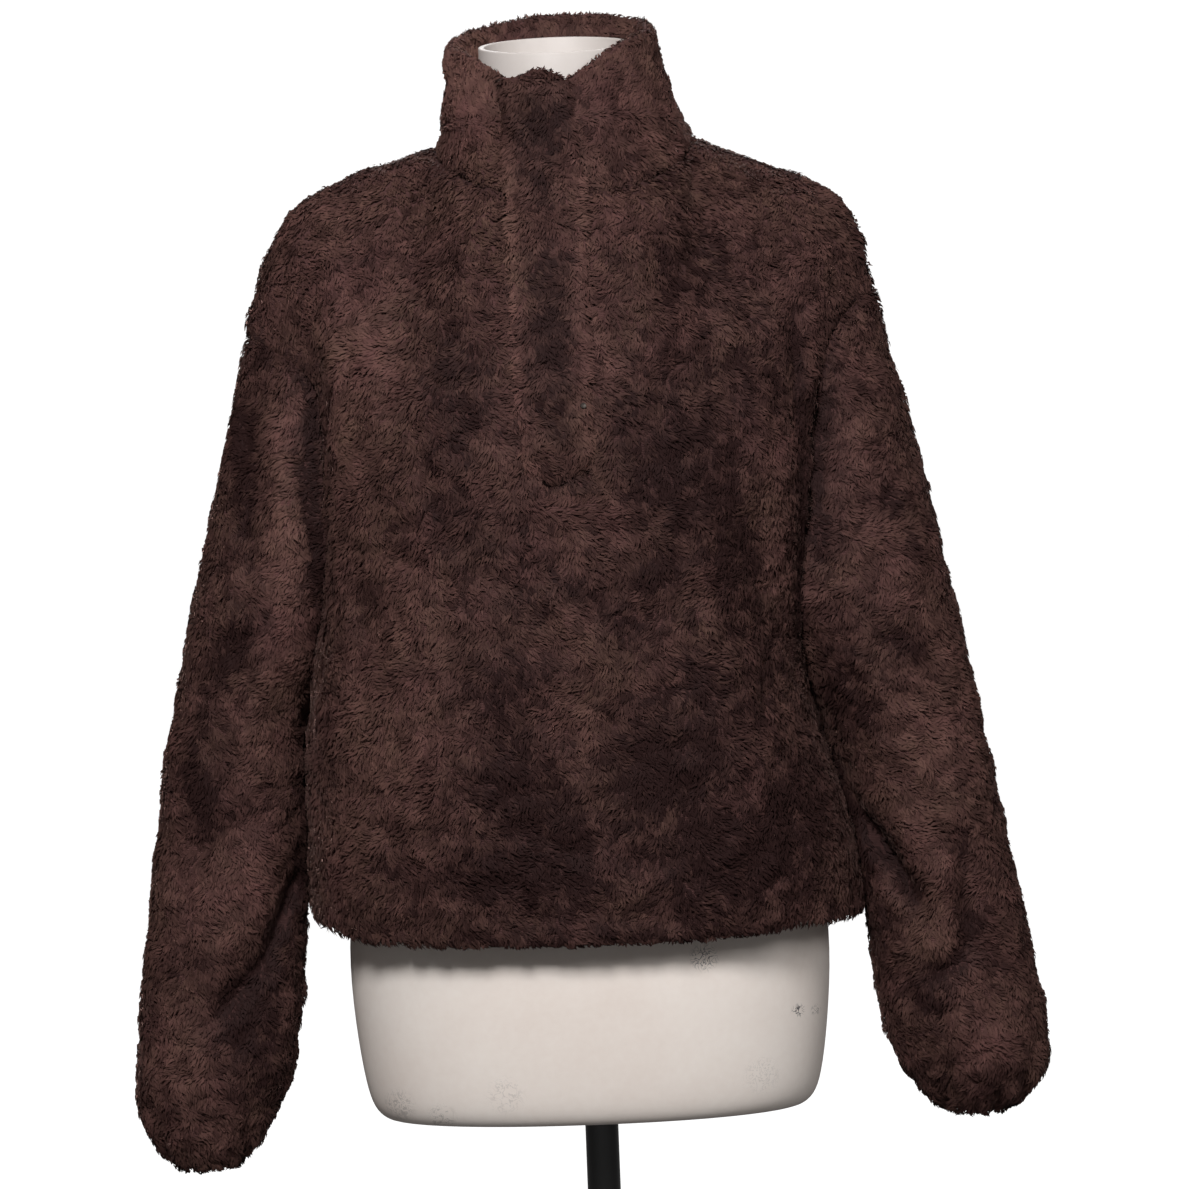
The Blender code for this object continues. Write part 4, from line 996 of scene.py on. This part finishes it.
def select_faces(item, test):
    """Edit mode with only the faces that pass a test selected."""
    bpy.context.view_layer.objects.active = item
    bpy.ops.object.mode_set(mode="EDIT")
    bpy.ops.mesh.select_mode(type="FACE")
    work = bmesh.from_edit_mesh(item.data)
    for face in work.faces:
        face.select_set(test(face))
    bmesh.update_edit_mesh(item.data)


POLE_RADIUS = 0.0125
FLANGE_RADIUS = 0.0150
BASE_RADIUS = 0.145
BASE_HEIGHT = 0.012
BASE_INSETS = (0.118, 0.004)  # they leave two flat rings of faces round the pole
pole = turned_cylinder("pole", POLE_RADIUS, 0.0123, DATUM + 0.0137)
select_faces(pole, lambda face: face.normal.z > 0.9)
bpy.ops.mesh.extrude_region_move(TRANSFORM_OT_translate={"value": (0, 0, -0.0030)})
bpy.ops.object.mode_set(mode="OBJECT")
flange = turned_cylinder("flange", FLANGE_RADIUS, DATUM + 0.0085, DATUM + 0.0136)
round_edges(flange, 0.0012, 3)

base = turned_cylinder("base", BASE_RADIUS, 0.0, BASE_HEIGHT, vertices=128)
select_faces(base, lambda face: face.normal.z > 0.9)
for inset in BASE_INSETS:
    bpy.ops.mesh.inset(thickness=inset)
bpy.ops.object.mode_set(mode="OBJECT")
round_edges(base, 0.0030, 4)

# %% Stand material
stand_metal, shader, group, mix = blotched(
    "stand_metal", (0.006, 0.0057, 0.0055), (0.016, 0.015, 0.015), 0.050, 0.0012, 0.5, 0.18)
set_inputs(shader, {"Coat Weight": 0.4, "Coat Roughness": 0.12})
add_bump(shader, group.outputs["Blotch"], 0.0002, 0.10)
for item, node in ((pole, "stand_pole"), (flange, None), (base, "stand_base")):
    item.data.materials.append(stand_metal)
    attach(item, "root")
    if node:
        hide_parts(node)
print("material:", stand_metal.name)

# %% [markdown]
# ## The snap
#
# A small press snap holds the placket shut. Only the edge of its cap shows, half buried in the
# pile. It is a disc with a dished face, laid on the cloth where a straight line from the front
# meets it.

# %% Set the snap
SNAP_X, SNAP_HEIGHT = 0.0067, 0.5455
SNAP_RADIUS, SNAP_THICK = 0.0021, 0.0016
SNAP_PROUD = 0.0012          # the cap lies this far in front of the backing
SNAP_RIM = 0.0008
SNAP_DISH = 0.0004
work = bmesh.new()
work.from_mesh(shells["placket"].data)
work.from_mesh(shells["front"].data)
cloth = BVHTree.FromBMesh(work)
work.free()
start = Vector((SNAP_X, -1.0, DATUM + SNAP_HEIGHT))
place, normal, _, _ = cloth.ray_cast(start, Vector((0, 1, 0)))
deselect()
bpy.ops.mesh.primitive_cylinder_add(vertices=40, radius=SNAP_RADIUS, depth=SNAP_THICK,
                                    location=place + normal * SNAP_PROUD,
                                    rotation=normal.to_track_quat("Z", "Y").to_euler())
snap = bpy.context.object
snap.name = snap.data.name = "snap"
bpy.ops.object.transform_apply(location=True, rotation=True, scale=True)
select_faces(snap, lambda face: face.normal.dot(normal) > 0.9)
bpy.ops.mesh.inset(thickness=SNAP_RIM)
bpy.ops.transform.translate(value=normal * -SNAP_DISH)
bpy.ops.object.mode_set(mode="OBJECT")
round_edges(snap, 0.0003, 3)
snap_metal, shader, group, mix = blotched(
    "snap_metal", (0.030, 0.025, 0.023), (0.065, 0.056, 0.050), 0.004, 0.0006, 0.4, 0.55, 1.0)
snap.data.materials.append(snap_metal)
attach(snap, "root")
print("snap at", [round(v, 4) for v in place])

# %% Flat sizes of the cut pieces, and the area of each shell
CUTS = {
    "front": ((0.56, 0.60), 0.285, "hung"),
    "back": ((0.56, 0.62), 0.295, "hung"),
    "sleeve_left": ((0.34, 0.63), 0.180, "hung"),
    "sleeve_right": ((0.34, 0.63), 0.180, "hung"),
    "collar": ((0.56, 0.095), 0.050, "folded"),
    "placket": ((0.06, 0.31), 0.0175, "laid"),
}
for node, (flat, area, held) in CUTS.items():
    measured = sum(face.area for face in shells[node].data.polygons) / 2
    print(node, "area", area, "measured", round(measured, 4))
